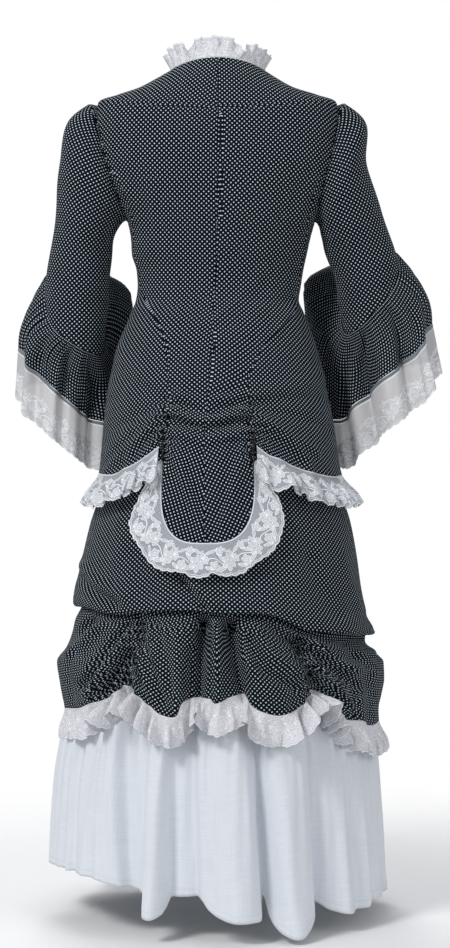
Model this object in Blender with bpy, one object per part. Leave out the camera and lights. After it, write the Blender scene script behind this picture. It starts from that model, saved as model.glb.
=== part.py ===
"""A two-piece walking suit of about 1880, as it hangs on a standing figure: a fitted black jacket with a drawn-up
peplum, flounced sleeves and lace, over a black overskirt looped up behind and a white flounced underskirt.

Metres. The origin is the nape of the neck on the body's axis, where the shoulders hold the suit. +Z is up, the
front faces -Y and the wearer's left is +X. Heights are drops below the nape. A turn is an angle round the body
in degrees, from the centre back towards the wearer's left, so 180 is the centre front.
"""
import math

import bpy
import numpy as np
from mathutils import Vector
from mathutils.bvhtree import BVHTree

# Walls and gaps
CLOTH = 0.0015
COTTON = 0.0013
LACE = 0.0010
BAND = 0.0012
SEAM = 0.0004

# Driving lengths
COLLAR_HEIGHT = 0.035
COLLAR_WAVES = 16
COLLAR_WAVE = 0.0045
COLLAR_ROLL = 0.010
PEPLUM_LACE = 0.056
SKIRT_LACE = 0.050
CUFF_LACE = 0.076
# How quickly a flounce swells below its seam
FLOUNCE_FULL = 3.0
CUFF_BAND = 0.006
CUFF_WAVES = 18
CUFF_WAVE = 0.004
OVERSKIRT_POINTS = 96
WAIST = 0.378
WAISTBAND_HEIGHT = 0.028
BUTTON_RADIUS = 0.0065
BUTTON_HEIGHT = 0.0030
BUTTON_TURN = -176.0
BUTTON_LEVELS = (0.018, 0.600)
BUTTON_SIDES = 8
BUTTONS = 9

# The armhole is an oval in turn and level round the shoulder point, with this many points on it
ARMHOLE_TOP = 0.090
ARMHOLE_BOTTOM = 0.262
ARMHOLE_MIDDLE = (ARMHOLE_TOP + ARMHOLE_BOTTOM) / 2
ARMHOLE_HALF = (ARMHOLE_BOTTOM - ARMHOLE_TOP) / 2
ARMHOLE_SPREAD = 29.0
ARM_POINTS = 18

# The levels at which neighbouring jacket panels both have a row of points, down to where the hems part
PANEL_ROWS = (
    0.000, 0.035, 0.065,
    *(ARMHOLE_MIDDLE - ARMHOLE_HALF * math.cos(2 * math.pi * k / ARM_POINTS) for k in range(ARM_POINTS // 2 + 1)),
    0.290, 0.325, 0.360, 0.385, 0.410, 0.440, 0.475, 0.520, 0.560, 0.600,
)
PEPLUM_START = PANEL_ROWS[-1]

# Colours, as red, green and blue
BLACK_CLOTH = (0.020, 0.022, 0.026)
WHITE_COTTON = (0.80, 0.83, 0.86)
WHITE_LACE = (0.78, 0.78, 0.76)
GREY_BAND = (0.16, 0.18, 0.20)
BLACK_BUTTON = (0.012, 0.012, 0.014)

# Sections of a garment. level names the section and is its drop; at_back, at_side and at_front are the further
# drops of the ring there; left and right are half widths, back and fore are depths behind and before the body's
# axis, and square is 2 for an ellipse and more for a fuller corner
SECTION = ("level", "at_back", "at_side", "at_front", "left", "right", "back", "fore", "square")
JACKET = (
    (0.000, 0, 0.014, 0.055, 0.0790, 0.0780, 0.058, 0.068, 2.0),
    (0.035, 0, 0.007, 0.050, 0.1300, 0.1250, 0.078, 0.088, 2.2),
    (0.065, 0, -0.010, 0.045, 0.1700, 0.1680, 0.090, 0.100, 2.4),
    (0.090, 0, -0.023, 0.045, 0.1980, 0.1960, 0.097, 0.108, 2.5),
    (0.125, 0, -0.008, 0.040, 0.2030, 0.2020, 0.102, 0.118, 2.5),
    (0.160, 0, 0, 0.035, 0.1990, 0.1990, 0.104, 0.127, 2.5),
    (0.200, 0, 0, 0.030, 0.1860, 0.1880, 0.103, 0.132, 2.4),
    (0.235, 0, 0, 0.020, 0.1660, 0.1720, 0.100, 0.133, 2.3),
    (0.262, 0, 0, 0.013, 0.1490, 0.1600, 0.097, 0.131, 2.3),
    (0.290, 0, 0, 0.008, 0.1435, 0.1520, 0.093, 0.124, 2.2),
    (0.315, 0, 0, 0.004, 0.1420, 0.1465, 0.090, 0.115, 2.2),
    (0.340, 0, 0, 0, 0.1345, 0.1410, 0.086, 0.106, 2.1),
    (0.366, 0, 0, 0, 0.1325, 0.1370, 0.084, 0.100, 2.1),
    (0.390, 0, 0, 0, 0.1355, 0.1335, 0.088, 0.101, 2.1),
    (0.410, 0, 0, 0, 0.1430, 0.1415, 0.098, 0.104, 2.1),
    (0.430, 0, 0, 0, 0.1515, 0.1495, 0.108, 0.106, 2.1),
    (0.470, 0, 0, 0, 0.1675, 0.1640, 0.128, 0.112, 2.0),
    (0.500, 0, 0, 0, 0.1745, 0.1715, 0.142, 0.116, 2.0),
    (0.540, 0, 0, 0, 0.1825, 0.1802, 0.159, 0.122, 2.0),
    (0.600, 0, 0, 0, 0.1893, 0.1921, 0.179, 0.130, 2.0),
    (0.660, 0, 0, 0, 0.1942, 0.2003, 0.197, 0.139, 2.0),
    (0.700, 0, 0, 0, 0.2020, 0.2110, 0.210, 0.147, 2.0),
    (0.760, 0, 0, 0, 0.2190, 0.2290, 0.229, 0.158, 2.0),
    (0.840, 0, 0, 0, 0.2390, 0.2460, 0.257, 0.172, 2.0),
    (0.900, 0, 0, 0, 0.2550, 0.2600, 0.276, 0.185, 2.0),
)
OVERSKIRT = (
    (0.376, 0, 0, 0, 0.1289, 0.1300, 0.0812, 0.0970, 2.1),
    (0.392, 0, 0, 0, 0.1300, 0.1302, 0.0830, 0.0965, 2.1),
    (0.410, 0, 0, 0, 0.1340, 0.1330, 0.088, 0.096, 2.1),
    (0.430, 0, 0, 0, 0.1410, 0.1395, 0.098, 0.098, 2.1),
    (0.470, 0, 0, 0, 0.1600, 0.1570, 0.120, 0.104, 2.0),
    (0.500, 0, 0, 0, 0.1670, 0.1640, 0.134, 0.108, 2.0),
    (0.540, 0, 0, 0, 0.1750, 0.1730, 0.150, 0.114, 2.0),
    (0.600, 0, 0, 0, 0.1815, 0.1845, 0.170, 0.122, 2.0),
    (0.660, 0, 0, 0, 0.1865, 0.1925, 0.187, 0.131, 2.0),
    (0.700, 0, 0, 0, 0.1925, 0.2015, 0.199, 0.139, 2.0),
    (0.760, 0, 0, 0, 0.2110, 0.2200, 0.217, 0.149, 2.0),
    (0.800, 0, 0, 0, 0.2210, 0.2300, 0.230, 0.156, 2.0),
    (0.830, 0, 0, 0, 0.2285, 0.2360, 0.242, 0.161, 2.0),
    (0.860, 0, 0, 0, 0.2360, 0.2440, 0.254, 0.166, 2.0),
    (0.880, 0, 0, 0, 0.2385, 0.2560, 0.262, 0.171, 2.0),
    (0.895, -0.009, -0.009, -0.009, 0.2372, 0.2585, 0.262, 0.171, 2.0),
    (0.910, -0.021, -0.021, -0.021, 0.2315, 0.2545, 0.257, 0.167, 2.0),
    (0.925, -0.050, -0.050, -0.050, 0.2235, 0.2460, 0.248, 0.161, 2.0),
)
OVERSKIRT_LOWER = (
    (0.872, 0, 0, 0, 0.2217, 0.2442, 0.2462, 0.1592, 2.0),
    (0.880, 0, 0, 0, 0.2217, 0.2440, 0.2460, 0.1590, 2.0),
    (0.910, 0, 0, 0, 0.2365, 0.2435, 0.251, 0.162, 2.0),
    (0.935, 0, 0, 0, 0.2420, 0.2465, 0.260, 0.169, 2.0),
    (0.957, 0, 0, 0, 0.2500, 0.2550, 0.268, 0.175, 2.0),
    (0.982, 0, 0, 0, 0.2660, 0.2735, 0.272, 0.183, 2.0),
    (1.010, 0, 0, 0, 0.2620, 0.2745, 0.273, 0.189, 2.0),
    (1.035, 0, 0, 0, 0.2575, 0.2700, 0.272, 0.194, 2.0),
    (1.060, 0, 0, 0, 0.2530, 0.2650, 0.271, 0.199, 2.0),
    (1.150, 0, 0, 0, 0.2660, 0.2730, 0.279, 0.215, 2.0),
)
UNDERSKIRT = (
    (0.376, 0, 0, 0, 0.1270, 0.1281, 0.0793, 0.0951, 2.1),
    (0.410, 0, 0, 0, 0.1280, 0.1280, 0.082, 0.093, 2.1),
    (0.430, 0, 0, 0, 0.1340, 0.1330, 0.090, 0.094, 2.1),
    (0.500, 0, 0, 0, 0.1540, 0.1520, 0.122, 0.100, 2.0),
    (0.600, 0, 0, 0, 0.1700, 0.1730, 0.156, 0.112, 2.0),
    (0.700, 0, 0, 0, 0.1800, 0.1880, 0.182, 0.126, 2.0),
    (0.800, 0, 0, 0, 0.1950, 0.2020, 0.201, 0.138, 2.0),
    (0.900, 0, 0, 0, 0.2060, 0.2120, 0.216, 0.146, 2.0),
    (0.985, 0, 0, 0, 0.2150, 0.2220, 0.228, 0.154, 2.0),
)
UNDERSKIRT_FLOUNCE = (
    (0.985, 0, 0, 0, 0.2155, 0.2225, 0.2285, 0.1545, 2.0),
    (1.020, 0, 0, 0, 0.2280, 0.2360, 0.240, 0.170, 2.0),
    (1.060, 0, 0, 0, 0.2380, 0.2470, 0.250, 0.184, 2.0),
    (1.107, 0, 0, 0, 0.2500, 0.2570, 0.258, 0.198, 2.0),
    (1.170, 0, 0, 0, 0.2600, 0.2640, 0.266, 0.212, 2.0),
    (1.250, 0, 0, 0, 0.2650, 0.2690, 0.271, 0.226, 2.0),
    (1.380, 0, 0, 0, 0.2700, 0.2750, 0.277, 0.242, 2.0),
)

# Lines over the jacket, as the turn of each seam at each level
SEAM_LINE = ("level", "turn")
CENTRE_BACK = (
    (0.00, 0.0), (0.15, 0.1), (0.36, 1.3), (0.39, 2.6), (0.47, 3.4), (0.55, 5.0), (0.633, 6.2), (0.79, 5.2),
)
SIDE_BACK_LEFT = (
    (0.170, 66.0), (0.205, 54.0), (0.253, 64.0), (0.300, 73.0), (0.360, 74.0), (0.385, 66.0), (0.411, 49.0),
    (0.440, 38.0), (0.474, 30.0), (0.516, 26.5), (0.545, 25.5), (0.633, 26.6), (0.790, 26.6),
)
SIDE_BACK_RIGHT = (
    (0.170, -66.0), (0.205, -54.0), (0.253, -62.0), (0.300, -71.0), (0.360, -75.0), (0.388, -70.0),
    (0.411, -60.0), (0.441, -40.0), (0.475, -26.0), (0.500, -20.0), (0.532, -15.5), (0.633, -16.6),
    (0.790, -16.6),
)

# Hems, as the drop at each turn
HEM = ("turn", "drop")
SIDE_SCALLOP_LEFT = ((26.6, 0.633), (32.5, 0.646), (43.0, 0.662), (61.0, 0.677), (82.0, 0.675), (180.0, 0.672))
SIDE_SCALLOP_RIGHT = (
    (16.6, 0.633), (24.0, 0.648), (34.0, 0.662), (48.0, 0.674), (66.0, 0.680), (85.0, 0.677), (180.0, 0.672),
)
TAIL_CENTRE = 5.0
TAIL_HALF = 21.6
TAIL_APEX = 0.633
TAIL_BOTTOM = 0.782
TAIL_CORNER = 3.2
TAIL_ROUND = 2.6
# The overskirt's pouf sinks from POUF_LEVEL to its lowest edge at OVERHANG_LEVEL, and its lower part starts
# behind the turned-up edge
POUF_LEVEL = 0.74
OVERHANG_LEVEL = 0.880
LOWER_TOP = 0.872
LOWER_SETTLES = 0.12
LOWER_LIP = 0.885
OVERHANG = (
    (-180, 0.905), (-140, 0.912), (-90, 0.930), (-44, 0.916), (-31.5, 0.907), (-23, 0.891), (-16, 0.882),
    (-3, 0.881), (10, 0.876), (25, 0.879), (42, 0.887), (65, 0.881), (90, 0.886), (140, 0.900), (180, 0.905),
)
OVERSKIRT_HEM = (
    (-180, 1.050), (-140, 1.058), (-100, 1.072), (-63, 1.076), (-45, 1.052), (-34.4, 1.010), (-28, 1.030),
    (-19.8, 1.043), (-12, 1.030), (-5, 1.021), (4, 1.019), (9, 1.030), (14.7, 1.044), (22, 1.036), (34, 1.003),
    (44, 1.030), (56, 1.050), (70, 1.057), (100, 1.062), (140, 1.058), (180, 1.050),
)
UNDERSKIRT_HEM = (
    (-180, 1.345), (-120, 1.350), (-87, 1.362), (-57, 1.352), (-45, 1.357), (-36, 1.336), (-24, 1.380),
    (-17, 1.330), (-10, 1.354), (-3, 1.354), (7, 1.328), (17, 1.330), (21, 1.347), (30, 1.328), (50, 1.312),
    (80, 1.312), (120, 1.325), (180, 1.345),
)

# Folds run down a form between two levels: their turn and height out of the cloth at the upper and lower end,
# and their half width in degrees. A trough has a negative height. The columns are upper, lower, turn_upper,
# turn_lower, half, high_upper and high_lower
UNDERSKIRT_FOLDS = (
    (1.00, 1.36, 30, 33, 5.0, -0.004, -0.016),
    (1.00, 1.36, 19, 21.5, 4.0, 0.004, 0.016),
    (1.00, 1.36, 15, 16.8, 2.6, -0.004, -0.018),
    (1.00, 1.36, 9, 8.5, 4.5, -0.003, -0.016),
    (1.00, 1.36, -2, -7, 7.5, 0.003, 0.018),
    (1.00, 1.36, -13, -17, 3.0, -0.004, -0.022),
    (1.00, 1.36, -21, -25, 5.5, 0.005, 0.022),
    (1.00, 1.36, -31, -36.5, 5.0, -0.005, -0.020),
    (1.00, 1.36, -42, -47, 5.5, 0.003, 0.012),
    (1.00, 1.36, -50, -54, 4.0, -0.002, -0.010),
    (1.00, 1.36, -62, -67, 8.0, 0.003, 0.008),
    (1.00, 1.36, 44, 50, 8.0, 0.003, 0.010),
    (1.00, 1.36, 66, 68, 6.0, -0.002, -0.010),
    (1.00, 1.36, 84, 88, 8.0, 0.002, 0.008),
    (1.00, 1.36, 104, 106, 5.0, -0.003, -0.014),
    (1.00, 1.36, 126, 128, 8.0, 0.003, 0.014),
    (1.00, 1.36, 146, 147, 5.0, -0.003, -0.014),
    (1.00, 1.36, 165, 166, 7.0, 0.003, 0.014),
    (1.00, 1.36, -80, -84, 5.0, -0.002, -0.010),
    (1.00, 1.36, -102, -104, 8.0, 0.003, 0.012),
    (1.00, 1.36, -126, -127, 5.0, -0.003, -0.014),
    (1.00, 1.36, -150, -150, 8.0, 0.003, 0.014),
    (1.00, 1.36, -174, -175, 5.0, -0.003, -0.012),
)
OVERSKIRT_LOWER_FOLDS = (
    (0.90, 1.04, 5.0, 7.5, 2.6, -0.014, -0.006),
    (0.90, 1.04, -4.0, -7.0, 2.8, -0.014, -0.006),
    (0.90, 1.04, 0.5, -1.0, 3.0, 0.006, 0.003),
    (0.90, 1.04, 16, 15, 7.0, 0.006, 0.010),
    (0.90, 1.02, 31, 34, 3.4, -0.012, -0.014),
    (0.92, 1.05, 42, 55, 5.0, 0.006, 0.006),
    (0.90, 1.04, -18, -20, 7.0, 0.006, 0.010),
    (0.92, 1.02, -32, -34.5, 3.4, -0.012, -0.014),
    (0.93, 1.06, -42, -58, 5.0, 0.006, 0.008),
    (0.93, 1.06, -55, -66, 4.0, -0.007, -0.004),
    (0.90, 1.05, 62, 66, 4.0, -0.006, -0.004),
    (0.90, 1.05, 88, 92, 6.0, -0.006, -0.003),
    (0.90, 1.05, 112, 114, 7.0, 0.005, 0.004),
    (0.90, 1.05, 136, 137, 6.0, -0.005, -0.004),
    (0.90, 1.05, 160, 160, 8.0, 0.005, 0.004),
    (0.90, 1.05, -90, -92, 6.0, -0.006, -0.003),
    (0.90, 1.05, -114, -114, 7.0, 0.005, 0.004),
    (0.90, 1.05, -138, -138, 6.0, -0.005, -0.004),
    (0.90, 1.05, -162, -160, 8.0, 0.005, 0.004),
)
OVERSKIRT_FOLDS = (
    (0.76, 0.93, 20, 10, 4.0, 0.000, -0.005),
    (0.78, 0.93, 34, 36, 6.0, 0.000, 0.005),
    (0.76, 0.93, -30, -33, 5.0, 0.000, -0.005),
    (0.76, 0.93, -52, -54, 9.0, 0.000, 0.005),
)
TAIL_FOLDS = (
    (0.64, 0.78, 18, 6, 2.6, 0.004, 0.002),
    (0.65, 0.78, -12, -2, 2.6, 0.004, 0.002),
    (0.64, 0.76, 24, 19, 3.0, -0.002, -0.001),
)
# Swags hang between the two gathered lines of the peplum. The columns are the lowest drop at the centre, how far
# the ends rise, half height and depth out of the cloth
PEPLUM_SWAGS = (
    (0.558, 0.016, 0.007, 0.005),
    (0.588, 0.014, 0.008, 0.006),
    (0.617, 0.010, 0.008, 0.005),
)
# Where the swags end, as shares of TAIL_HALF, and the levels between which the peplum's folds show
SWAG_EDGE = 1.06
SWAG_FADE = 0.385
FOLDS_FROM = 0.56
FOLDS_FADE = 0.03
RAYS_UNTIL = 0.70
# Short folds that a gathered line throws out into a side scallop
PEPLUM_RAYS = (
    (0.575, 0.650, 27, 48, 3.2, 0.004, 0.004),
    (0.590, 0.670, 27, 66, 4.0, 0.004, 0.004),
    (0.570, 0.655, -16, -46, 3.2, 0.005, 0.005),
    (0.600, 0.670, -17, -30, 3.0, 0.004, 0.003),
)

# Sleeves: rings down the arm. The columns are the drop of the ring's centre, out and y where it is, a tilt from
# facing sideways at the armhole to facing down, and its half sizes across and deep
ARM_LEFT = (
    (0.179, 0.1980, 0.000, 30.0, 0.0916, 0.066),
    (0.2145, 0.2103, 0.000, 45.5, 0.0706, 0.064),
    (0.259, 0.2192, -0.003, 63.0, 0.0540, 0.058),
    (0.305, 0.2257, -0.009, 84.0, 0.0508, 0.054),
    (0.360, 0.2325, -0.016, 90.0, 0.0530, 0.053),
    (0.490, 0.2390, -0.026, 90.0, 0.0500, 0.050),
)
ARM_RIGHT = (
    (0.181, 0.2020, 0.000, 26.0, 0.0900, 0.066),
    (0.2165, 0.2060, 0.000, 37.0, 0.0650, 0.064),
    (0.2625, 0.2205, -0.003, 65.0, 0.0545, 0.058),
    (0.304, 0.2340, -0.009, 86.0, 0.0575, 0.055),
    (0.360, 0.2495, -0.016, 90.0, 0.0545, 0.054),
    (0.490, 0.2620, -0.026, 90.0, 0.0500, 0.050),
)
ARM_TOP_LEVEL = 0.150
# The slanted end of a sleeve and the hem of its flounce, as drops round the arm
SLEEVE_END = ("angle", "end", "hem")
END_LEFT = (
    (0, 0.360, 0.455), (30, 0.411, 0.475), (60, 0.443, 0.506), (90, 0.462, 0.538), (120, 0.476, 0.574),
    (150, 0.481, 0.591), (180, 0.462, 0.580), (205, 0.398, 0.545), (230, 0.347, 0.490), (270, 0.328, 0.452),
    (315, 0.328, 0.442), (340, 0.340, 0.444), (360, 0.360, 0.455),
)
END_RIGHT = (
    (0, 0.320, 0.418), (30, 0.352, 0.438), (60, 0.383, 0.475), (90, 0.411, 0.508), (120, 0.436, 0.543),
    (150, 0.446, 0.586), (180, 0.430, 0.582), (205, 0.375, 0.530), (230, 0.331, 0.474), (270, 0.308, 0.436),
    (315, 0.302, 0.415), (340, 0.306, 0.410), (360, 0.320, 0.418),
)
# Flounce hems in plan. The columns are out and y of the centre, the half sizes of a leaning oval, how far the
# oval is turned, and how far the lace below it swings outwards for each metre down
HEM_LEFT = (0.2450, -0.072, 0.099, 0.056, 42.0, 0.04)
HEM_RIGHT = (0.2630, -0.062, 0.105, 0.059, 42.0, 0.18)
# Folds round a flounce. The columns are the arm's angle, half width in degrees and height out at the hem
FLOUNCE_FOLDS = (
    (226, 38, 0.038), (10, 11, 0.006), (32, 9, -0.006), (52, 10, 0.007), (74, 8, -0.010), (95, 10, 0.008),
    (117, 8, -0.008), (138, 9, 0.005), (160, 9, -0.005), (185, 10, 0.004), (208, 9, -0.004), (232, 11, 0.007),
    (256, 9, -0.006), (280, 11, 0.007), (304, 9, -0.006), (328, 11, 0.006), (350, 8, -0.005),
)


def column(rows, names, name):
    """One named column of a table."""
    return np.array([row[names.index(name)] for row in rows], dtype=float)


def smooth(knots, values, at):
    """A smooth curve through the values at the knots that never swings past them."""
    at = np.clip(np.asarray(at, dtype=float), knots[0], knots[-1])
    step = np.diff(knots)
    slope = np.diff(values) / step
    tangent = np.zeros(len(knots))
    tangent[0], tangent[-1] = slope[0], slope[-1]
    same_way = slope[:-1] * slope[1:] > 0
    both = np.where(same_way, slope[:-1] + slope[1:], 1.0)
    tangent[1:-1] = np.where(same_way, 2 * slope[:-1] * slope[1:] / both, 0.0)
    i = np.clip(np.searchsorted(knots, at) - 1, 0, len(step) - 1)
    t = (at - knots[i]) / step[i]
    rise = values[i] + t * t * (3 - 2 * t) * (values[i + 1] - values[i])
    return rise + step[i] * t * (1 - t) * ((1 - t) * tangent[i] - t * tangent[i + 1])


def read(rows, names, at, name):
    """A named column of a table, read smoothly at a value of its first column."""
    return smooth(column(rows, names, names[0]), column(rows, names, name), at)


def ease(x):
    """0 below 0, 1 above 1 and smooth between."""
    x = np.clip(x, 0.0, 1.0)
    return x * x * (3 - 2 * x)


def bell(x):
    return np.exp(-x * x)


def apart(turn, centre):
    """Degrees from centre to turn, the short way round."""
    return (turn - centre + 180.0) % 360.0 - 180.0


def section_point(rows, turn, level):
    """The point of a garment's form at a turn and a level."""
    at = {name: read(rows, SECTION, level, name) for name in SECTION[1:]}
    side, rear = np.sin(np.radians(turn)), np.cos(np.radians(turn))
    corner = (np.abs(side) ** at["square"] + np.abs(rear) ** at["square"]) ** (-1 / at["square"])
    x = np.where(side > 0, at["left"], at["right"]) * side * corner
    y = np.where(rear > 0, at["back"], at["fore"]) * rear * corner
    end = np.where(rear > 0, at["at_back"], at["at_front"])
    drop = level + side ** 2 * at["at_side"] + rear ** 2 * end
    return np.stack([x, y, -drop], axis=-1)


def push_out(points, out):
    """Points moved level with the ground, away from the body's axis."""
    flat = points[..., :2]
    way = flat / np.linalg.norm(flat, axis=-1, keepdims=True)
    moved = points.copy()
    moved[..., :2] += way * np.asarray(out)[..., None]
    return moved


def fold_height(rows, turn, level):
    """How far the folds of a table lift the cloth at a turn and a level."""
    height = np.zeros(np.broadcast(turn, level).shape)
    for upper, lower, turn_upper, turn_lower, half, high_upper, high_lower in rows:
        down = (level - upper) / (lower - upper)
        along = np.clip(down, 0.0, 1.0)
        centre = turn_upper + (turn_lower - turn_upper) * along
        high = high_upper + (high_lower - high_upper) * along
        height = height + high * ease(down * 4 + 1) * bell(apart(turn, centre) / half)
    return height


def jacket(turn, level):
    """The jacket's outer face, with the swags and folds of its drawn-up peplum."""
    between = (turn - TAIL_CENTRE) / TAIL_HALF
    held = ease((SWAG_EDGE - np.abs(between)) / SWAG_FADE)
    out = np.zeros(np.broadcast(turn, level).shape)
    for drop, rise, half, high in PEPLUM_SWAGS:
        out = out + high * held * bell((level - drop + rise * between ** 2) / half)
    below_hips = ease((level - FOLDS_FROM) / FOLDS_FADE)
    above_hem = ease((RAYS_UNTIL - level) / FOLDS_FADE)
    side = ease((np.abs(between) - 0.9) * 4)
    out = out + side * below_hips * above_hem * fold_height(PEPLUM_RAYS, turn, level)
    out = out + held * below_hips * fold_height(TAIL_FOLDS, turn, level)
    return push_out(section_point(JACKET, turn, level), out)


def overskirt(turn, level):
    """The overskirt down to its overhang, whose lip turns under and up again."""
    points = section_point(OVERSKIRT, turn, level)
    reach = read(OVERHANG, HEM, apart(turn, 0), "drop") - OVERHANG_LEVEL
    points[..., 2] -= reach * ease((level - POUF_LEVEL) / (OVERHANG_LEVEL - POUF_LEVEL))
    turned_under = ease((level - OVERHANG_LEVEL) / FOLDS_FADE)
    return push_out(points, fold_height(OVERSKIRT_FOLDS, turn, level) * (1 - turned_under))


def overskirt_lower(turn, level):
    points = section_point(OVERSKIRT_LOWER, turn, level)
    reach = read(OVERHANG, HEM, apart(turn, 0), "drop") - OVERHANG_LEVEL
    points[..., 2] -= reach * (1 - ease((level - LOWER_TOP) / LOWER_SETTLES))
    below_lip = ease((level - LOWER_LIP) / FOLDS_FADE)
    return push_out(points, fold_height(OVERSKIRT_LOWER_FOLDS, turn, level) * below_lip)


def underskirt_flounce(turn, level):
    return push_out(section_point(UNDERSKIRT_FLOUNCE, turn, level), fold_height(UNDERSKIRT_FOLDS, turn, level))


def armhole_point(side, angle, shrink=0.0):
    """The jacket's point on an armhole; the angle goes from the shoulder over the back and under the arm."""
    half = ARMHOLE_HALF - shrink
    spread = ARMHOLE_SPREAD * half / ARMHOLE_HALF
    level = ARMHOLE_MIDDLE - half * np.cos(np.radians(angle))
    turn = 90.0 - spread * np.sin(np.radians(angle))
    return jacket(side * turn, level)


def armhole_turn(level):
    """How far the armhole opens before and behind the side at a level."""
    return ARMHOLE_SPREAD * np.sqrt(np.clip(1 - ((level - ARMHOLE_MIDDLE) / ARMHOLE_HALF) ** 2, 0, 1))


def pick(stack, index):
    """From a stack of grids, the one that index names at each of its points."""
    return np.take_along_axis(stack, index[None, ..., None], 0)[0]


def sleeve_form(side, arm):
    """The sleeve's outer face: rings from the armhole down the arm. The angle is 0 outside and 90 behind."""
    levels = np.array([ARM_TOP_LEVEL] + [row[0] for row in arm])

    def ring(row, angle):
        level, out, y, tilt, across, deep = row
        lean = math.radians(tilt)
        cosine, sine = np.cos(np.radians(angle)), np.sin(np.radians(angle))
        x = out + across * cosine * math.sin(lean)
        z = -level + across * cosine * math.cos(lean)
        return np.stack([side * x, y + deep * sine, z], axis=-1)

    def form(angle, level):
        angle, level = np.broadcast_arrays(np.asarray(angle, dtype=float), np.asarray(level, dtype=float))
        rings = [armhole_point(side, angle, 2 * SEAM)] + [ring(row, angle) for row in arm]
        stack = np.stack(rings)
        slopes = np.diff(stack, axis=0) / np.diff(levels).reshape([-1] + [1] * (stack.ndim - 1))
        tangents = np.concatenate([slopes[:1], (slopes[:-1] + slopes[1:]) / 2, slopes[-1:]])
        i = np.clip(np.searchsorted(levels, level) - 1, 0, len(levels) - 2)
        step = np.diff(levels)[i]
        t = np.clip((level - levels[i]) / step, 0, 1)[..., None]
        here, after = pick(stack, i), pick(stack, i + 1)
        leave, arrive = pick(tangents, i), pick(tangents, i + 1)
        blend = t * t * (3 - 2 * t)
        bend = step[..., None] * t * (1 - t) * ((1 - t) * leave - t * arrive)
        return here + blend * (after - here) + bend

    return form


def round_arm(ends, angle, name):
    return read(ends, SLEEVE_END, angle % 360.0, name)


def along_facets(sleeve, ends, angle):
    """Points on the sleeve's lower edge, which is straight between its own ARM_POINTS."""
    step = 360.0 / ARM_POINTS
    before = np.floor(angle / step) * step
    share = ((angle - before) / step)[..., None]
    first = sleeve(before, round_arm(ends, before, "end"))
    return first + share * (sleeve(before + step, round_arm(ends, before + step, "end")) - first)


def flounce_form(side, arm, ends, hem):
    """The flounce, band and cuff lace in one: down goes from 0 at the sleeve's end to 1 at the flounce's hem,
    and further by 1 for each metre of band and lace."""
    out, y, long, short, lean, sway = hem
    sleeve = sleeve_form(side, arm)

    def form(angle, down):
        angle, down = np.broadcast_arrays(np.asarray(angle, dtype=float), np.asarray(down, dtype=float))
        end = round_arm(ends, angle, "end")
        fall = round_arm(ends, angle, "hem") - end
        top = along_facets(sleeve, ends, angle)
        top[..., 2] -= 2 * SEAM
        c, s = np.cos(np.radians(angle - lean)), np.sin(np.radians(angle - lean))
        ux, uy = math.cos(math.radians(lean)), math.sin(math.radians(lean))
        past = np.clip(down - 1, 0, None)
        distance = fall * np.minimum(down, 1) + past
        folds = sum(high * bell(apart(angle, at) / half) for at, half, high in FLOUNCE_FOLDS)
        folds = folds * ease(down)
        lace_waves = CUFF_WAVE * ease(past / CUFF_LACE) * np.cos(np.radians(angle * CUFF_WAVES))
        grow = folds + lace_waves + 0.04 * past
        x = out + sway * past + (long + grow) * c * ux - (short + grow) * s * uy
        depth = y + (long + grow) * c * uy + (short + grow) * s * ux
        swell = 1 - (1 - np.clip(down, 0, 1)) ** FLOUNCE_FULL
        points = np.stack([side * x, depth, top[..., 2] - distance], axis=-1)
        points[..., 0] = top[..., 0] + (points[..., 0] - top[..., 0]) * swell
        points[..., 1] = top[..., 1] + (points[..., 1] - top[..., 1]) * swell
        return points

    return form


def outward(form, u, v, side):
    """The unit normal of a form, from its slopes along u and v."""
    small_u, small_v = 0.05, 0.0002
    along = form(u + small_u, v) - form(u - small_u, v)
    down = form(u, v + small_v) - form(u, v - small_v)
    normal = np.cross(along, down) * side
    return normal / np.linalg.norm(normal, axis=-1, keepdims=True)


def material(name, colour, roughness):
    shade = bpy.data.materials.get(name) or bpy.data.materials.new(name)
    shade.use_nodes = True
    surface = shade.node_tree.nodes["Principled BSDF"]
    surface.inputs["Base Color"].default_value = (*colour, 1.0)
    surface.inputs["Roughness"].default_value = roughness
    surface.inputs["Metallic"].default_value = 0.0
    return shade


def add_mesh(name, vertices, faces, shade):
    mesh = bpy.data.meshes.new(name)
    mesh.from_pydata([tuple(p) for p in vertices], [], faces)
    mesh.update()
    mesh.shade_smooth()
    mesh.set_sharp_from_angle(angle=math.radians(50))
    thing = bpy.data.objects.new(name, mesh)
    bpy.context.scene.collection.objects.link(thing)
    thing.data.materials.append(shade)
    return thing


def wall(name, outer, normals, thick, closed, side, shade):
    """A cloth wall between a grid of outer points and the same grid moved in along its normals. Both faces have
    their diagonals the same way, so a twisted wall keeps its thickness."""
    rows, columns = outer.shape[:2]
    inner = outer - normals * thick
    vertices = np.concatenate([outer.reshape(-1, 3), inner.reshape(-1, 3)])
    behind = rows * columns
    spans = columns if closed else columns - 1
    faces = []

    def at(i, j):
        return i * columns + j % columns

    def face(*corners):
        faces.append(corners if side > 0 else corners[::-1])

    for i in range(rows - 1):
        for j in range(spans):
            a, b, c, d = at(i, j), at(i, j + 1), at(i + 1, j + 1), at(i + 1, j)
            for corners in ((a, b, c), (a, c, d)):
                face(*corners)
                face(*(behind + corner for corner in corners[::-1]))
    last = rows - 1
    for j in range(spans):
        face(at(0, j + 1), at(0, j), behind + at(0, j), behind + at(0, j + 1))
        face(at(last, j), at(last, j + 1), behind + at(last, j + 1), behind + at(last, j))
    if not closed:
        for i in range(last):
            face(at(i, 0), at(i + 1, 0), behind + at(i + 1, 0), behind + at(i, 0))
            end = columns - 1
            face(at(i + 1, end), at(i, end), behind + at(i, end), behind + at(i + 1, end))
    return add_mesh(name, vertices, faces, shade)


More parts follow.
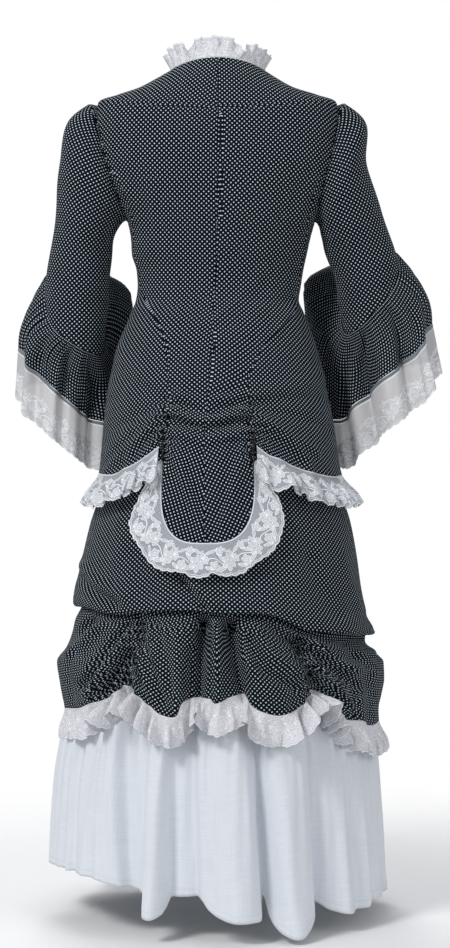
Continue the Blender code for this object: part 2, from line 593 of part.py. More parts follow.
def tube(name, form, turns, levels, thick, side, shade):
    """A closed ring of cloth. levels is one row of values, or a grid with a column for each turn."""
    turns = np.asarray(turns, dtype=float)
    levels = np.asarray(levels, dtype=float)
    if levels.ndim == 1:
        levels = np.repeat(levels[:, None], len(turns), axis=1)
    turns = np.repeat(turns[None, :], len(levels), axis=0)
    return wall(name, form(turns, levels), outward(form, turns, levels, side), thick, True, side, shade)


def panel(name, first_edge, last_edge, top, hem, hem_rows, columns, shade):
    """A jacket panel between two seams, which are turns at a level, down from a top level to its hem, which is
    a level at 0 to 1 across. Panels share their rows above PEPLUM_START, so their seams fit."""
    share = np.linspace(0, 1, columns)
    shared = [top] + [level for level in PANEL_ROWS if level > top + 0.004]
    level = [np.full(columns, level) for level in shared]
    for k in range(1, hem_rows + 1):
        level.append(PEPLUM_START + (hem(share) - PEPLUM_START) * k / hem_rows)
    level = np.array(level)
    first, last = first_edge(level), last_edge(level)
    width = np.linalg.norm(jacket(last, level) - jacket(first, level), axis=-1)
    inset = np.clip(SEAM / 2 / np.maximum(width, 1e-5), 0, 0.3)
    turn = first + (last - first) * (inset + (1 - 2 * inset) * share[None, :])
    return wall(name, jacket(turn, level), outward(jacket, turn, level, 1), CLOTH, False, 1, shade)


def ring_turns(count):
    return np.arange(count) * 360.0 / count - 180.0


def seam(rows):
    """A seam's turn as a function of level."""
    return lambda level: read(rows, SEAM_LINE, level, "turn")


def build_jacket_backs(cloth):
    """The two back panels, from the neck to the rounded tail."""
    centre = seam(CENTRE_BACK)
    for name, side, side_back in (("left", 1, SIDE_BACK_LEFT), ("right", -1, SIDE_BACK_RIGHT)):
        def outer_edge(level, side=side, line=seam(side_back)):
            above = side * (90.0 - armhole_turn(level))
            start = side_back_start(side_back)
            return np.where(level < start, above, line(level))

        def hem(share, side=side):
            turn = centre(TAIL_BOTTOM) + (outer_edge(TAIL_BOTTOM) - centre(TAIL_BOTTOM)) * share
            from_middle = np.clip(np.abs(turn - TAIL_CENTRE) / TAIL_HALF, 0, 1)
            return TAIL_APEX + (TAIL_BOTTOM - TAIL_APEX) * (1 - from_middle ** TAIL_CORNER) ** (1 / TAIL_ROUND)

        edges = (centre, outer_edge) if side > 0 else (outer_edge, centre)
        across = hem if side > 0 else (lambda share, hem=hem: hem(1 - share))
        panel(f"jacket_back_{name}", *edges, 0.0, across, 5, 6, cloth)


def side_back_start(rows):
    """The level at which a side-back seam leaves the armhole."""
    levels = np.linspace(0.165, 0.215, 101)
    gap = np.abs(read(rows, SEAM_LINE, levels, "turn")) - (90.0 - armhole_turn(levels))
    return float(levels[np.argmin(np.abs(gap))])


def build_side_backs(cloth):
    rows = {"left": (1, SIDE_BACK_LEFT, SIDE_SCALLOP_LEFT), "right": (-1, SIDE_BACK_RIGHT, SIDE_SCALLOP_RIGHT)}
    for name, (side, line, scallop) in rows.items():
        start = side_back_start(line) + 0.004

        def side_edge(level, side=side):
            return side * (90.0 - armhole_turn(level))

        def hem(share, line=line, scallop=scallop):
            first = abs(line[-1][1])
            return read(scallop, HEM, first + (90.0 - first) * share, "drop")

        edges = (seam(line), side_edge) if side > 0 else (side_edge, seam(line))
        across = hem if side > 0 else (lambda share, hem=hem: hem(1 - share))
        panel(f"jacket_side_back_{name}", *edges, start, across, 2, 5, cloth)


def build_fronts(cloth):
    for name, side, scallop in (("left", 1, SIDE_SCALLOP_LEFT), ("right", -1, SIDE_SCALLOP_RIGHT)):
        def side_edge(level, side=side):
            return side * (90.0 + armhole_turn(level))

        def middle(level, side=side):
            return side * 180.0 + 0 * level

        def hem(share, scallop=scallop):
            return read(scallop, HEM, 90.0 + 90.0 * share, "drop")

        edges = (side_edge, middle) if side > 0 else (middle, side_edge)
        across = hem if side > 0 else (lambda share, hem=hem: hem(1 - share))
        panel(f"jacket_front_{name}", *edges, 0.0, across, 2, 6, cloth)


def highest(tree, points, normal):
    """How far the cloth stands out along a normal under the highest of some points, from the points themselves."""
    far = 0.02
    heights = []
    for point in points:
        hit = tree.ray_cast(Vector(point + normal * far), Vector(-normal))
        if hit[0] is not None:
            heights.append(far - hit[3])
    return max(heights)


def build_buttons(shade):
    """Plain round buttons down the centre front, each seated on the right front where that stands out most."""
    front = bpy.data.objects["jacket_front_right"].data
    tree = BVHTree.FromPolygons([v.co for v in front.vertices], [tuple(p.vertices) for p in front.polygons])
    turn = np.array(BUTTON_TURN)
    for number, level in enumerate(np.linspace(*BUTTON_LEVELS, BUTTONS), 1):
        here = jacket(turn, np.array(level))
        normal = outward(jacket, turn, np.array(level), 1)
        up = np.array([0.0, 0.0, 1.0]) - normal * normal[2]
        up /= np.linalg.norm(up)
        across = np.cross(up, normal)
        angles = 2 * np.pi * np.arange(BUTTON_SIDES) / BUTTON_SIDES
        rim = BUTTON_RADIUS * (np.cos(angles)[:, None] * across + np.sin(angles)[:, None] * up)
        seat = highest(tree, [here, *(here + rim), *(here + rim / 2)], normal) + SEAM
        vertices = []
        for high, wide in ((0.0, 1.0), (0.6, 1.0), (1.0, 0.72)):
            vertices.extend(here + rim * wide + normal * (seat + BUTTON_HEIGHT * high))
        faces = [tuple(range(BUTTON_SIDES))[::-1], tuple(range(2 * BUTTON_SIDES, 3 * BUTTON_SIDES))]
        for ring in (0, BUTTON_SIDES):
            for k in range(BUTTON_SIDES):
                after = (k + 1) % BUTTON_SIDES
                faces.append((ring + k, ring + after, ring + BUTTON_SIDES + after, ring + BUTTON_SIDES + k))
        add_mesh(f"button_{number}", vertices, faces, shade)


def build_sleeves(cloth, band, lace):
    arms = (("left", 1, ARM_LEFT, END_LEFT, HEM_LEFT), ("right", -1, ARM_RIGHT, END_RIGHT, HEM_RIGHT))
    for name, side, arm, ends, hem in arms:
        sleeve = sleeve_form(side, arm)
        angles = ring_turns(ARM_POINTS)
        down = np.array([0, 0.06, 0.14, 0.25, 0.38, 0.54, 0.7, 0.86, 1.0])
        end = round_arm(ends, angles, "end")
        levels = ARM_TOP_LEVEL + down[:, None] * (end - ARM_TOP_LEVEL)[None, :]
        tube(f"sleeve_{name}", sleeve, angles, levels, CLOTH, -side, cloth)
        flounce = flounce_form(side, arm, ends, hem)
        around = ring_turns(3 * ARM_POINTS)
        tube(f"sleeve_flounce_{name}", flounce, around, np.array([0, 0.2, 0.55, 1.0]), CLOTH, -side, cloth)
        start = 1 + 2 * SEAM
        tube(f"cuff_band_{name}", flounce, around, np.array([start, start + CUFF_BAND]), BAND, -side, band)
        start += CUFF_BAND + 2 * SEAM
        tube(f"cuff_lace_{name}", flounce, around, np.array([start, start + CUFF_LACE]), LACE, -side, lace)


def build_collar(lace):
    """The lace ruffle stands round the neck and rolls a little outwards."""
    def form(turn, height):
        level = np.zeros(np.broadcast(turn, height).shape)
        base = jacket(turn, level)
        rise = height / COLLAR_HEIGHT
        wave = COLLAR_WAVE * np.cos(np.radians(turn * COLLAR_WAVES)) * ease(rise)
        points = push_out(base, COLLAR_ROLL * np.maximum(rise, 0) ** 1.5 - LACE + wave)
        points[..., 2] += 2 * SEAM + height
        return points
    heights = np.array([1.0, 0.5, 0.0]) * COLLAR_HEIGHT
    turns = ring_turns(64)
    grid = np.repeat(heights[:, None], len(turns), axis=1)
    around = np.repeat(turns[None, :], len(heights), axis=0)
    normal = -outward(form, around, grid, 1)
    wall("collar_lace", form(around, grid), normal, LACE, True, 1, lace)


def lace_form(garment, edge, length, waves, high, flare, fan, lift, full=None):
    """Gathered lace below an edge. edge gives turn and level at 0 to 1; fan is 0 where the lace hangs straight
    down and 1 where it stands square to the edge; full is the share of its length that it has along the edge."""
    def form(along, distance):
        along, distance = np.broadcast_arrays(np.asarray(along, float) / 100.0, np.asarray(distance, float))
        turn, level = edge(along)
        here = garment(turn, level)
        small = 0.002
        ahead, behind = garment(*edge(along + small)), garment(*edge(along - small))
        run = ahead - behind
        run /= np.linalg.norm(run, axis=-1, keepdims=True)
        normal = outward(garment, turn, level, 1)
        square = np.cross(run, normal) * -1.0
        down = garment(turn, level + 0.001) - garment(turn, level - 0.001)
        down /= np.linalg.norm(down, axis=-1, keepdims=True)
        way = square * fan + down * (1 - fan)
        way /= np.linalg.norm(way, axis=-1, keepdims=True)
        share = distance / length
        wave = high * (1 - np.cos(2 * np.pi * waves * along)) / 2 * ease(share)
        raised = lift(along) + flare * np.maximum(share, 0) ** 1.3 + wave
        reach = distance * (full(along) if full else 1.0)
        return here + way * reach[..., None] + normal * raised[..., None]
    return form


def flat(along):
    return 0.0 * along


def lace_strip(name, form, length, columns, closed, shade, start=SEAM):
    along = np.linspace(0, 100, columns, endpoint=not closed)
    distance = np.array([start, length])
    grid_u = np.repeat(along[None, :], 2, axis=0)
    grid_v = np.repeat(distance[:, None], columns, axis=1)
    wall(name, form(grid_u, grid_v), outward(form, grid_u, grid_v, 1), LACE, closed, 1, shade)


def build_peplum_lace(lace):
    """Three strips: the tail's and one for each side scallop, which meets its fellow at the centre front."""
    def tail_edge(along):
        angle = np.radians(170.0 * (along - 0.5))
        across, low = np.sin(angle), np.cos(angle)
        turn = TAIL_CENTRE + TAIL_HALF * np.sign(across) * np.abs(across) ** (2 / TAIL_CORNER)
        return turn, TAIL_APEX + (TAIL_BOTTOM - TAIL_APEX) * np.abs(low) ** (2 / TAIL_ROUND)

    def full(along):
        return 0.25 + 0.75 * ease(np.minimum(along, 1 - along) / 0.22)
    form = lace_form(jacket, tail_edge, PEPLUM_LACE, 13, 0.006, 0.004, 1.0, flat, full)
    lace_strip("peplum_lace_tail", form, PEPLUM_LACE, 53, False, lace)
    for name, side, scallop in (("left", 1, SIDE_SCALLOP_LEFT), ("right", -1, SIDE_SCALLOP_RIGHT)):
        first = scallop[0][0] + 0.8

        def side_edge(along, side=side, scallop=scallop, first=first):
            share = along if side > 0 else 1 - along
            turn = first + (179.8 - first) * share
            return side * turn, read(scallop, HEM, turn, "drop")

        def over_tail(along, side=side):
            return 0.009 * bell((along if side > 0 else 1 - along) / 0.10)
        form = lace_form(jacket, side_edge, PEPLUM_LACE, 12, 0.007, 0.012, 0.0, over_tail)
        lace_strip(f"peplum_lace_{name}", form, PEPLUM_LACE, 49, False, lace)


def waistband(rows):
    """A band that stands on a skirt's top edge; its height runs down to WAIST."""
    def form(turn, height):
        points = section_point(rows, turn, WAIST + 0 * height)
        points[..., 2] += WAISTBAND_HEIGHT - height
        return points
    return form


def build_overskirt(cloth, lace):
    turns = ring_turns(40)
    tube("overskirt_waistband", waistband(OVERSKIRT), ring_turns(40), np.array([0.0, WAISTBAND_HEIGHT]), COTTON,
         1, cloth)
    levels = np.array([WAIST + SEAM, 0.40, 0.44, 0.54, 0.66, 0.77, 0.85, 0.88, 0.895, 0.91, 0.925])
    tube("overskirt", overskirt, turns, levels, CLOTH, 1, cloth)
    around = ring_turns(OVERSKIRT_POINTS)
    hem = read(OVERSKIRT_HEM, HEM, around, "drop")
    down = np.array([0, 0.04, 0.32, 0.65, 1.0])
    grid = LOWER_TOP + down[:, None] * (hem - LOWER_TOP)[None, :]
    tube("overskirt_lower", overskirt_lower, around, grid, CLOTH, 1, cloth)

    def edge(along):
        turn = along * 360.0 - 180.0
        return turn, read(OVERSKIRT_HEM, HEM, apart(turn, 0), "drop")
    form = lace_form(overskirt_lower, edge, SKIRT_LACE, OVERSKIRT_POINTS // 3, 0.007, 0.003, 0.0, flat)
    lace_strip("overskirt_lace", form, SKIRT_LACE, OVERSKIRT_POINTS, True, lace, 2 * SEAM)


def build_underskirt(cotton):
    def upper(turn, level):
        return section_point(UNDERSKIRT, turn, level)
    tube("underskirt_waistband", waistband(UNDERSKIRT), ring_turns(40), np.array([0.0, WAISTBAND_HEIGHT]),
         COTTON, 1, cotton)
    levels = np.array([WAIST + SEAM, 0.40, 0.44, 0.52, 0.66, 0.82, UNDERSKIRT[-1][0] - SEAM])
    tube("underskirt", upper, ring_turns(40), levels, COTTON, 1, cotton)
    around = ring_turns(80)
    hem = read(UNDERSKIRT_HEM, HEM, around, "drop")
    down = np.array([0, 0.25, 0.6, 1.0])
    top = UNDERSKIRT_FLOUNCE[0][0]
    grid = top + down[:, None] * (hem - top)[None, :]
    tube("underskirt_flounce", underskirt_flounce, around, grid, COTTON, 1, cotton)


def main():
    for thing in list(bpy.data.objects):
        bpy.data.objects.remove(thing, do_unlink=True)
    cloth = material("black_cloth", BLACK_CLOTH, 0.85)
    lace = material("white_lace", WHITE_LACE, 0.8)
    cotton = material("white_cotton", WHITE_COTTON, 0.8)
    band = material("grey_band", GREY_BAND, 0.7)
    button = material("black_button", BLACK_BUTTON, 0.35)
    build_jacket_backs(cloth)
    build_side_backs(cloth)
    build_fronts(cloth)
    build_buttons(button)
    build_sleeves(cloth, band, lace)
    build_collar(lace)
    build_peplum_lace(lace)
    build_overskirt(cloth, lace)
    build_underskirt(cotton)


main()
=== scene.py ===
# %% [markdown]
# # A walking suit of about 1880
# A fitted black pin-dot jacket with a drawn-up peplum and lace, over a looped-up overskirt and a white
# flounced underskirt, as it hangs on a figure that isn't shown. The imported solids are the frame: every
# piece below is a thin shell on one of those forms, so it stays where they are. Lengths are metres; +Z is
# up, the back faces +Y and the wearer's left is +X. Heights are given as drops below the nape, and a turn
# is an angle round the body in degrees, from the centre back towards the wearer's left.

# %% Load the frame
import math

import bpy
import numpy as np
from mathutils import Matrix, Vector


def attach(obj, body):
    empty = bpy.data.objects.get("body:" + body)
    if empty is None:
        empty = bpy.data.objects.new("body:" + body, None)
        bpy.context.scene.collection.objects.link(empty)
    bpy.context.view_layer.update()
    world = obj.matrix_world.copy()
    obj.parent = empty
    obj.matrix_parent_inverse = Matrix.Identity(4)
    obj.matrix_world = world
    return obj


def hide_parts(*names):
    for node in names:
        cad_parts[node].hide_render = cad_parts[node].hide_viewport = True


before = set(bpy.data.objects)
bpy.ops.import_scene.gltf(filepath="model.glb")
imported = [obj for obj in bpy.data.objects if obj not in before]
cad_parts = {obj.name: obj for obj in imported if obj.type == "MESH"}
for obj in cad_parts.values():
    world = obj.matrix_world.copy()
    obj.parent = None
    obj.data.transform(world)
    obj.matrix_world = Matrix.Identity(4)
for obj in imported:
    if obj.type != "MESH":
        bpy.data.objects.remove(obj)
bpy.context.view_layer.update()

scene = bpy.context.scene
print("nodes in the frame:", len(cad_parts))

# %% [markdown]
# ## The camera
# The photograph looks straight at the back from about 3.4 m, level with the seat of the skirt. The camera
# comes first. Its lens is worked out from the height of the picture and the distance, and its sensor is
# fitted to that height.

# %% Camera
PICTURE = (450, 948)
CAMERA_DISTANCE = 3.4
CAMERA_CENTRE = (-0.0116, -0.6765)
PIXELS_PER_SLOPE = 2060
SENSOR = 36.0

eye = bpy.data.cameras.new("studio_camera")
eye.sensor_fit = "VERTICAL"
eye.sensor_height = SENSOR
eye.lens = SENSOR * PIXELS_PER_SLOPE / PICTURE[1]
camera = bpy.data.objects.new("studio_camera", eye)
camera.location = (CAMERA_CENTRE[0], CAMERA_DISTANCE, CAMERA_CENTRE[1])
camera.rotation_euler = (math.radians(90), 0, math.radians(180))
scene.collection.objects.link(camera)
scene.camera = camera
print("lens", round(eye.lens, 1), "mm")

# %% [markdown]
# ## Floor and light
# A pale floor fades out at its rim, so no horizon cuts the picture. The sky is plain white to the camera
# and a softer grey to the cloth, and three large lamps give the folds their quiet shading: a key from
# above the left, a weaker fill from the right and one that lights the front.

# %% Studio
FLOOR_DROP = 1.392
FLOOR_SIZE = 1.6
FLOOR_FADE = (0.35, 1.5)


def lamp(name, place, aim, size, power):
    """A large soft lamp that looks at a point."""
    data = bpy.data.lights.new(name, "AREA")
    data.shape = "DISK"
    data.size = size
    data.energy = power
    thing = bpy.data.objects.new(name, data)
    thing.location = place
    thing.rotation_euler = (Vector(aim) - Vector(place)).to_track_quat("-Z", "Y").to_euler()
    scene.collection.objects.link(thing)


# Each lamp's name, place, the point that it looks at, diameter and power in watts
LAMPS = (
    ("key", (2.1, 2.7, 1.7), (0, 0, -0.6), 1.2, 90),
    ("fill", (-2.4, 2.6, 0.4), (0, 0, -0.7), 2.0, 20),
    ("front", (0.6, -3.2, 1.4), (0, 0, -0.7), 2.0, 60),
)
SKY_STRENGTH = 0.47
for row in LAMPS:
    lamp(*row)

world = bpy.data.worlds.new("studio")
world.use_nodes = True
scene.world = world
nodes, links = world.node_tree.nodes, world.node_tree.links
nodes.clear()
seen, lit = nodes.new("ShaderNodeBackground"), nodes.new("ShaderNodeBackground")
seen.inputs["Color"].default_value = (1, 1, 1, 1)
lit.inputs["Color"].default_value = (0.93, 0.96, 1.0, 1)
lit.inputs["Strength"].default_value = SKY_STRENGTH
path, either = nodes.new("ShaderNodeLightPath"), nodes.new("ShaderNodeMixShader")
sky = nodes.new("ShaderNodeOutputWorld")
links.new(path.outputs["Is Camera Ray"], either.inputs[0])
links.new(lit.outputs[0], either.inputs[1])
links.new(seen.outputs[0], either.inputs[2])
links.new(either.outputs[0], sky.inputs["Surface"])
scene.view_settings.view_transform = "Standard"

# %% [markdown]
# ## Reading the pattern
# The suit is cut from short tables: sections of each garment, seam lines, hems and folds. A table is read
# with a smooth curve that never swings past its rows, so a waist stays as narrow as it is written. A
# point of a garment is found from a turn and a level, and folds only move it level with the ground, away
# from the body.

# %% Curves through tables
def smooth(knots, values, at):
    """A smooth curve through the values at the knots."""
    knots, values = np.asarray(knots, dtype=float), np.asarray(values, dtype=float)
    at = np.clip(np.asarray(at, dtype=float), knots[0], knots[-1])
    step = np.diff(knots)
    slope = np.diff(values) / step
    same_way = slope[:-1] * slope[1:] > 0
    both = np.where(same_way, slope[:-1] + slope[1:], 1.0)
    inner = np.where(same_way, 2 * slope[:-1] * slope[1:] / both, 0.0)
    tangent = np.concatenate([slope[:1], inner, slope[-1:]])
    i = np.clip(np.searchsorted(knots, at) - 1, 0, len(step) - 1)
    t = (at - knots[i]) / step[i]
    rise = values[i] + t * t * (3 - 2 * t) * (values[i + 1] - values[i])
    return rise + step[i] * t * (1 - t) * ((1 - t) * tangent[i] - t * tangent[i + 1])


def read(rows, names, at, name):
    """A named column of a table, read at a value of its first column."""
    return smooth([row[0] for row in rows], [row[names.index(name)] for row in rows], at)


def ease(x):
    """0 below 0, 1 above 1 and smooth between."""
    x = np.clip(x, 0.0, 1.0)
    return x * x * (3 - 2 * x)


def bell(x):
    return np.exp(-x * x)


def apart(turn, centre):
    """Degrees from centre to turn, the short way round."""
    return (turn - centre + 180.0) % 360.0 - 180.0


def drift(x, y, seed):
    """Slow unevenness between -1 and 1, the same in every run."""
    draw = np.random.default_rng(seed)
    total = 0.0
    for _ in range(5):
        way, start = draw.uniform(-1, 1, 2), draw.uniform(0, 2 * np.pi)
        total = total + np.sin(2 * np.pi * (way[0] * x + way[1] * y) + start)
    return total / 3


# %% Points of a garment
def section_point(rows, turn, level):
    """The point of a garment's form at a turn and a level."""
    at = {name: read(rows, SECTION, level, name) for name in SECTION[1:]}
    side, rear = np.sin(np.radians(turn)), np.cos(np.radians(turn))
    corner = (np.abs(side) ** at["square"] + np.abs(rear) ** at["square"]) ** (-1 / at["square"])
    x = np.where(side > 0, at["left"], at["right"]) * side * corner
    y = np.where(rear > 0, at["back"], at["fore"]) * rear * corner
    end = np.where(rear > 0, at["at_back"], at["at_front"])
    drop = level + side ** 2 * at["at_side"] + rear ** 2 * end
    return np.stack([x, y, -drop], axis=-1)


def push_out(points, out):
    """Points moved level with the ground, away from the body's axis."""
    flat = points[..., :2]
    way = flat / np.linalg.norm(flat, axis=-1, keepdims=True)
    moved = points.copy()
    moved[..., :2] += way * np.asarray(out)[..., None]
    return moved


def fold_height(rows, turn, level):
    """How far the folds of a table lift the cloth at a turn and a level."""
    height = np.zeros(np.broadcast(turn, level).shape)
    for upper, lower, turn_upper, turn_lower, half, high_upper, high_lower in rows:
        down = (level - upper) / (lower - upper)
        along = np.clip(down, 0.0, 1.0)
        centre = turn_upper + (turn_lower - turn_upper) * along
        high = high_upper + (high_lower - high_upper) * along
        height = height + high * ease(down * 4 + 1) * bell(apart(turn, centre) / half)
    return height


def crease_height(rows, points):
    """Soft creases on the back: bent lines from (x, z) over (x, z) to (x, z), half width and height."""
    x, z = points[..., 0], points[..., 2]
    height = np.zeros(x.shape)
    for x0, z0, x1, z1, x2, z2, half, high in rows:
        near = np.full(x.shape, np.inf)
        for ax, az, bx, bz in ((x0, z0, x1, z1), (x1, z1, x2, z2)):
            dx, dz = bx - ax, bz - az
            t = np.clip(((x - ax) * dx + (z - az) * dz) / (dx * dx + dz * dz), 0, 1)
            near = np.minimum(near, np.hypot(x - ax - dx * t, z - az - dz * t))
        height += high * bell(near / half)
    return height * ease(points[..., 1] / 0.03)


def from_picture(rows, depth):
    """Creases measured in the picture as metres on cloth at a depth behind the body's axis."""
    reach = (CAMERA_DISTANCE - depth) / PIXELS_PER_SLOPE

    def place(px, py):
        return (CAMERA_CENTRE[0] + (PICTURE[0] / 2 - px) * reach,
                CAMERA_CENTRE[1] + (PICTURE[1] / 2 - py) * reach)
    return [(*place(*row[0:2]), *place(*row[2:4]), *place(*row[4:6]), row[6] / 1000, row[7] / 1000)
            for row in rows]


def ruched(distance, along, pitch, high, reach, seed):
    """Small uneven tucks across a gathered line, which die away from it on both sides."""
    wander = 0.22 * drift(along / (5 * pitch), distance / (4 * reach), seed)
    tucks = np.sin(2 * np.pi * (along / pitch + wander))
    return high * tucks * np.exp(-np.abs(distance) / reach)


# %% [markdown]
# ## From flat cut to worn shell
# Cloth is flat before it is sewn, and its dots and threads are printed and woven flat. So each piece
# carries a UV map called "cut", in metres on the flat cloth. A panel's is found by letting the threads of
# a first flat guess pull back to their worn lengths, as a dressmaker's block is found from a form. A tube
# is slit down one column first, and a gathered strip is as long as its lower edge all the way up. The
# flat shape gives the size the piece was cut to.

# %% Flat cuts
# How many threads apart the knots of each net are, and how many rounds it settles
NET_STAGES = ((12, 1200), (6, 500), (3, 300), (2, 60))


def row_lengths(points, middle):
    """Distance along each row from a middle column."""
    steps = np.linalg.norm(np.diff(points, axis=1), axis=-1)
    total = np.concatenate([np.zeros((len(points), 1)), np.cumsum(steps, axis=1)], axis=1)
    return total - total[:, middle:middle + 1]


def column_lengths(points):
    """Distance down each column from the first row."""
    steps = np.linalg.norm(np.diff(points, axis=0), axis=-1)
    return np.concatenate([np.zeros((1, points.shape[1])), np.cumsum(steps, axis=0)], axis=0)


def ring_cut(points, middle):
    """The cut of a tube: its first column again at the end, so the map doesn't fold back."""
    closed = np.concatenate([points, points[:, :1]], axis=1)
    return np.stack([row_lengths(closed, middle), -column_lengths(closed)], axis=-1)


def net_spans(points, rows, columns):
    """Threads and diagonals of a net: the knots that each joins, and its length measured along the cloth."""
    across, fall = np.diff(points, axis=1), np.diff(points, axis=0)
    across_size = np.maximum(np.linalg.norm(across, axis=-1), 1e-9)
    fall_size = np.maximum(np.linalg.norm(fall, axis=-1), 1e-9)
    slant = (across[:-1] * fall[:, :-1]).sum(axis=-1) / (across_size[:-1] * fall_size[:, :-1])
    wide = np.add.reduceat(across_size[:, :columns[-1]], columns[:-1], axis=1)[rows]
    high = np.add.reduceat(fall_size, rows[:-1], axis=0)[:, columns]
    cells = np.diff(rows)[:, None] * np.diff(columns)[None, :]
    lean = np.add.reduceat(slant[:, :columns[-1]], columns[:-1], axis=1)
    lean = np.add.reduceat(lean, rows[:-1], axis=0) / cells
    a, d = (wide[:-1] + wide[1:]) / 2, (high[:, :-1] + high[:, 1:]) / 2
    near, far = slice(None, -1), slice(1, None)
    every = slice(None)
    return (
        ((every, near), (every, far), wide),
        ((near, every), (far, every), high),
        ((near, near), (far, far), np.sqrt(np.maximum(a * a + d * d + 2 * a * d * lean, 1e-12))),
        ((near, far), (far, near), np.sqrt(np.maximum(a * a + d * d - 2 * a * d * lean, 1e-12))),
    )


def relax(spans, guess, rounds):
    """Threads and diagonals pull a flat guess to the lengths that they have on the worn cloth."""
    flat = guess.copy()
    for _ in range(rounds):
        move = np.zeros_like(flat)
        for first, second, length in spans:
            gap = flat[second] - flat[first]
            now = np.maximum(np.linalg.norm(gap, axis=-1), 1e-7)
            pull = gap * ((now - length) / now / 2)[..., None]
            move[first] += pull
            move[second] -= pull
        flat += move * 0.2
    return flat


def between_knots(moved, rows, columns, shape):
    """Moves of a net's knots, spread evenly over all the points between them."""
    full = np.empty((*shape, 2))
    for k in (0, 1):
        strips = np.stack([np.interp(np.arange(shape[1]), columns, row) for row in moved[..., k]])
        full[..., k] = np.stack([np.interp(np.arange(shape[0]), rows, strip) for strip in strips.T], axis=1)
    return full


def panel_cut(points, guess, upright, margin=4):
    """The flat shape of a panel. A coarse net of every few threads settles first, then finer ones. The
    crowded threads in the margin beside a seam follow their neighbours. upright is the column that is laid
    straight down the cloth."""
    shape = points.shape[:2]
    for step, rounds in NET_STAGES:
        rows = np.unique(np.append(np.arange(0, shape[0], step), shape[0] - 1))
        last = shape[1] - 1 - margin
        columns = np.unique(np.append(np.arange(margin, last, step), last))
        net = np.ix_(rows, columns)
        moved = relax(net_spans(points, rows, columns), guess[net], rounds) - guess[net]
        guess = guess + between_knots(moved, rows, columns, shape)
    way = guess[shape[0] // 5, upright] - guess[4 * shape[0] // 5, upright]
    turn = math.atan2(way[0], way[1])
    c, s = math.cos(turn), math.sin(turn)
    return np.stack([guess[..., 0] * c - guess[..., 1] * s, guess[..., 0] * s + guess[..., 1] * c], axis=-1)


def strip_cut(points):
    """The cut of a gathered strip: as long as its lower edge all the way up, and as deep as its columns."""
    cut = ring_cut(points, points.shape[1] // 2)
    cut[..., 0] = cut[-1:, :, 0]
    return cut


def tube_cut(points):
    """The flat shape of a tube that is slit down its first column."""
    slit = np.concatenate([points, points[:, :1]], axis=1)
    middle = slit.shape[1] // 2
    down = column_lengths(slit)[:, middle:middle + 1]
    guess = np.stack([row_lengths(slit, middle), -down + 0 * slit[..., 0]], axis=-1)
    return panel_cut(slit, guess, middle, 0)


def cut_size(cut):
    """Width and length of a flat cut, in metres, and its area."""
    across, down = cut[:-1, 1:] - cut[:-1, :-1], cut[1:, :-1] - cut[:-1, :-1]
    area = np.abs(across[..., 0] * down[..., 1] - across[..., 1] * down[..., 0]).sum()
    width, length = np.ptp(cut[..., 0]), np.ptp(cut[..., 1])
    return float(width), float(length), float(area)


# %% Shells
def grid_normals(points, closed, side):
    """Unit normals of a grid of points; side is 1 or -1, to make them point outwards."""
    padded = np.concatenate([points[:, -1:], points, points[:, :1]], axis=1) if closed else points
    along = np.gradient(padded, axis=1)
    down = np.gradient(padded, axis=0)
    normal = np.cross(along, down) * side
    if closed:
        normal = normal[:, 1:-1]
    size = np.linalg.norm(normal, axis=-1, keepdims=True)
    normal = np.where(size > 1e-12, normal / np.maximum(size, 1e-12), 0)
    for i in range(len(normal) - 2, -1, -1):
        blank = np.linalg.norm(normal[i], axis=-1) < 0.5
        normal[i][blank] = normal[i + 1][blank]
    return normal


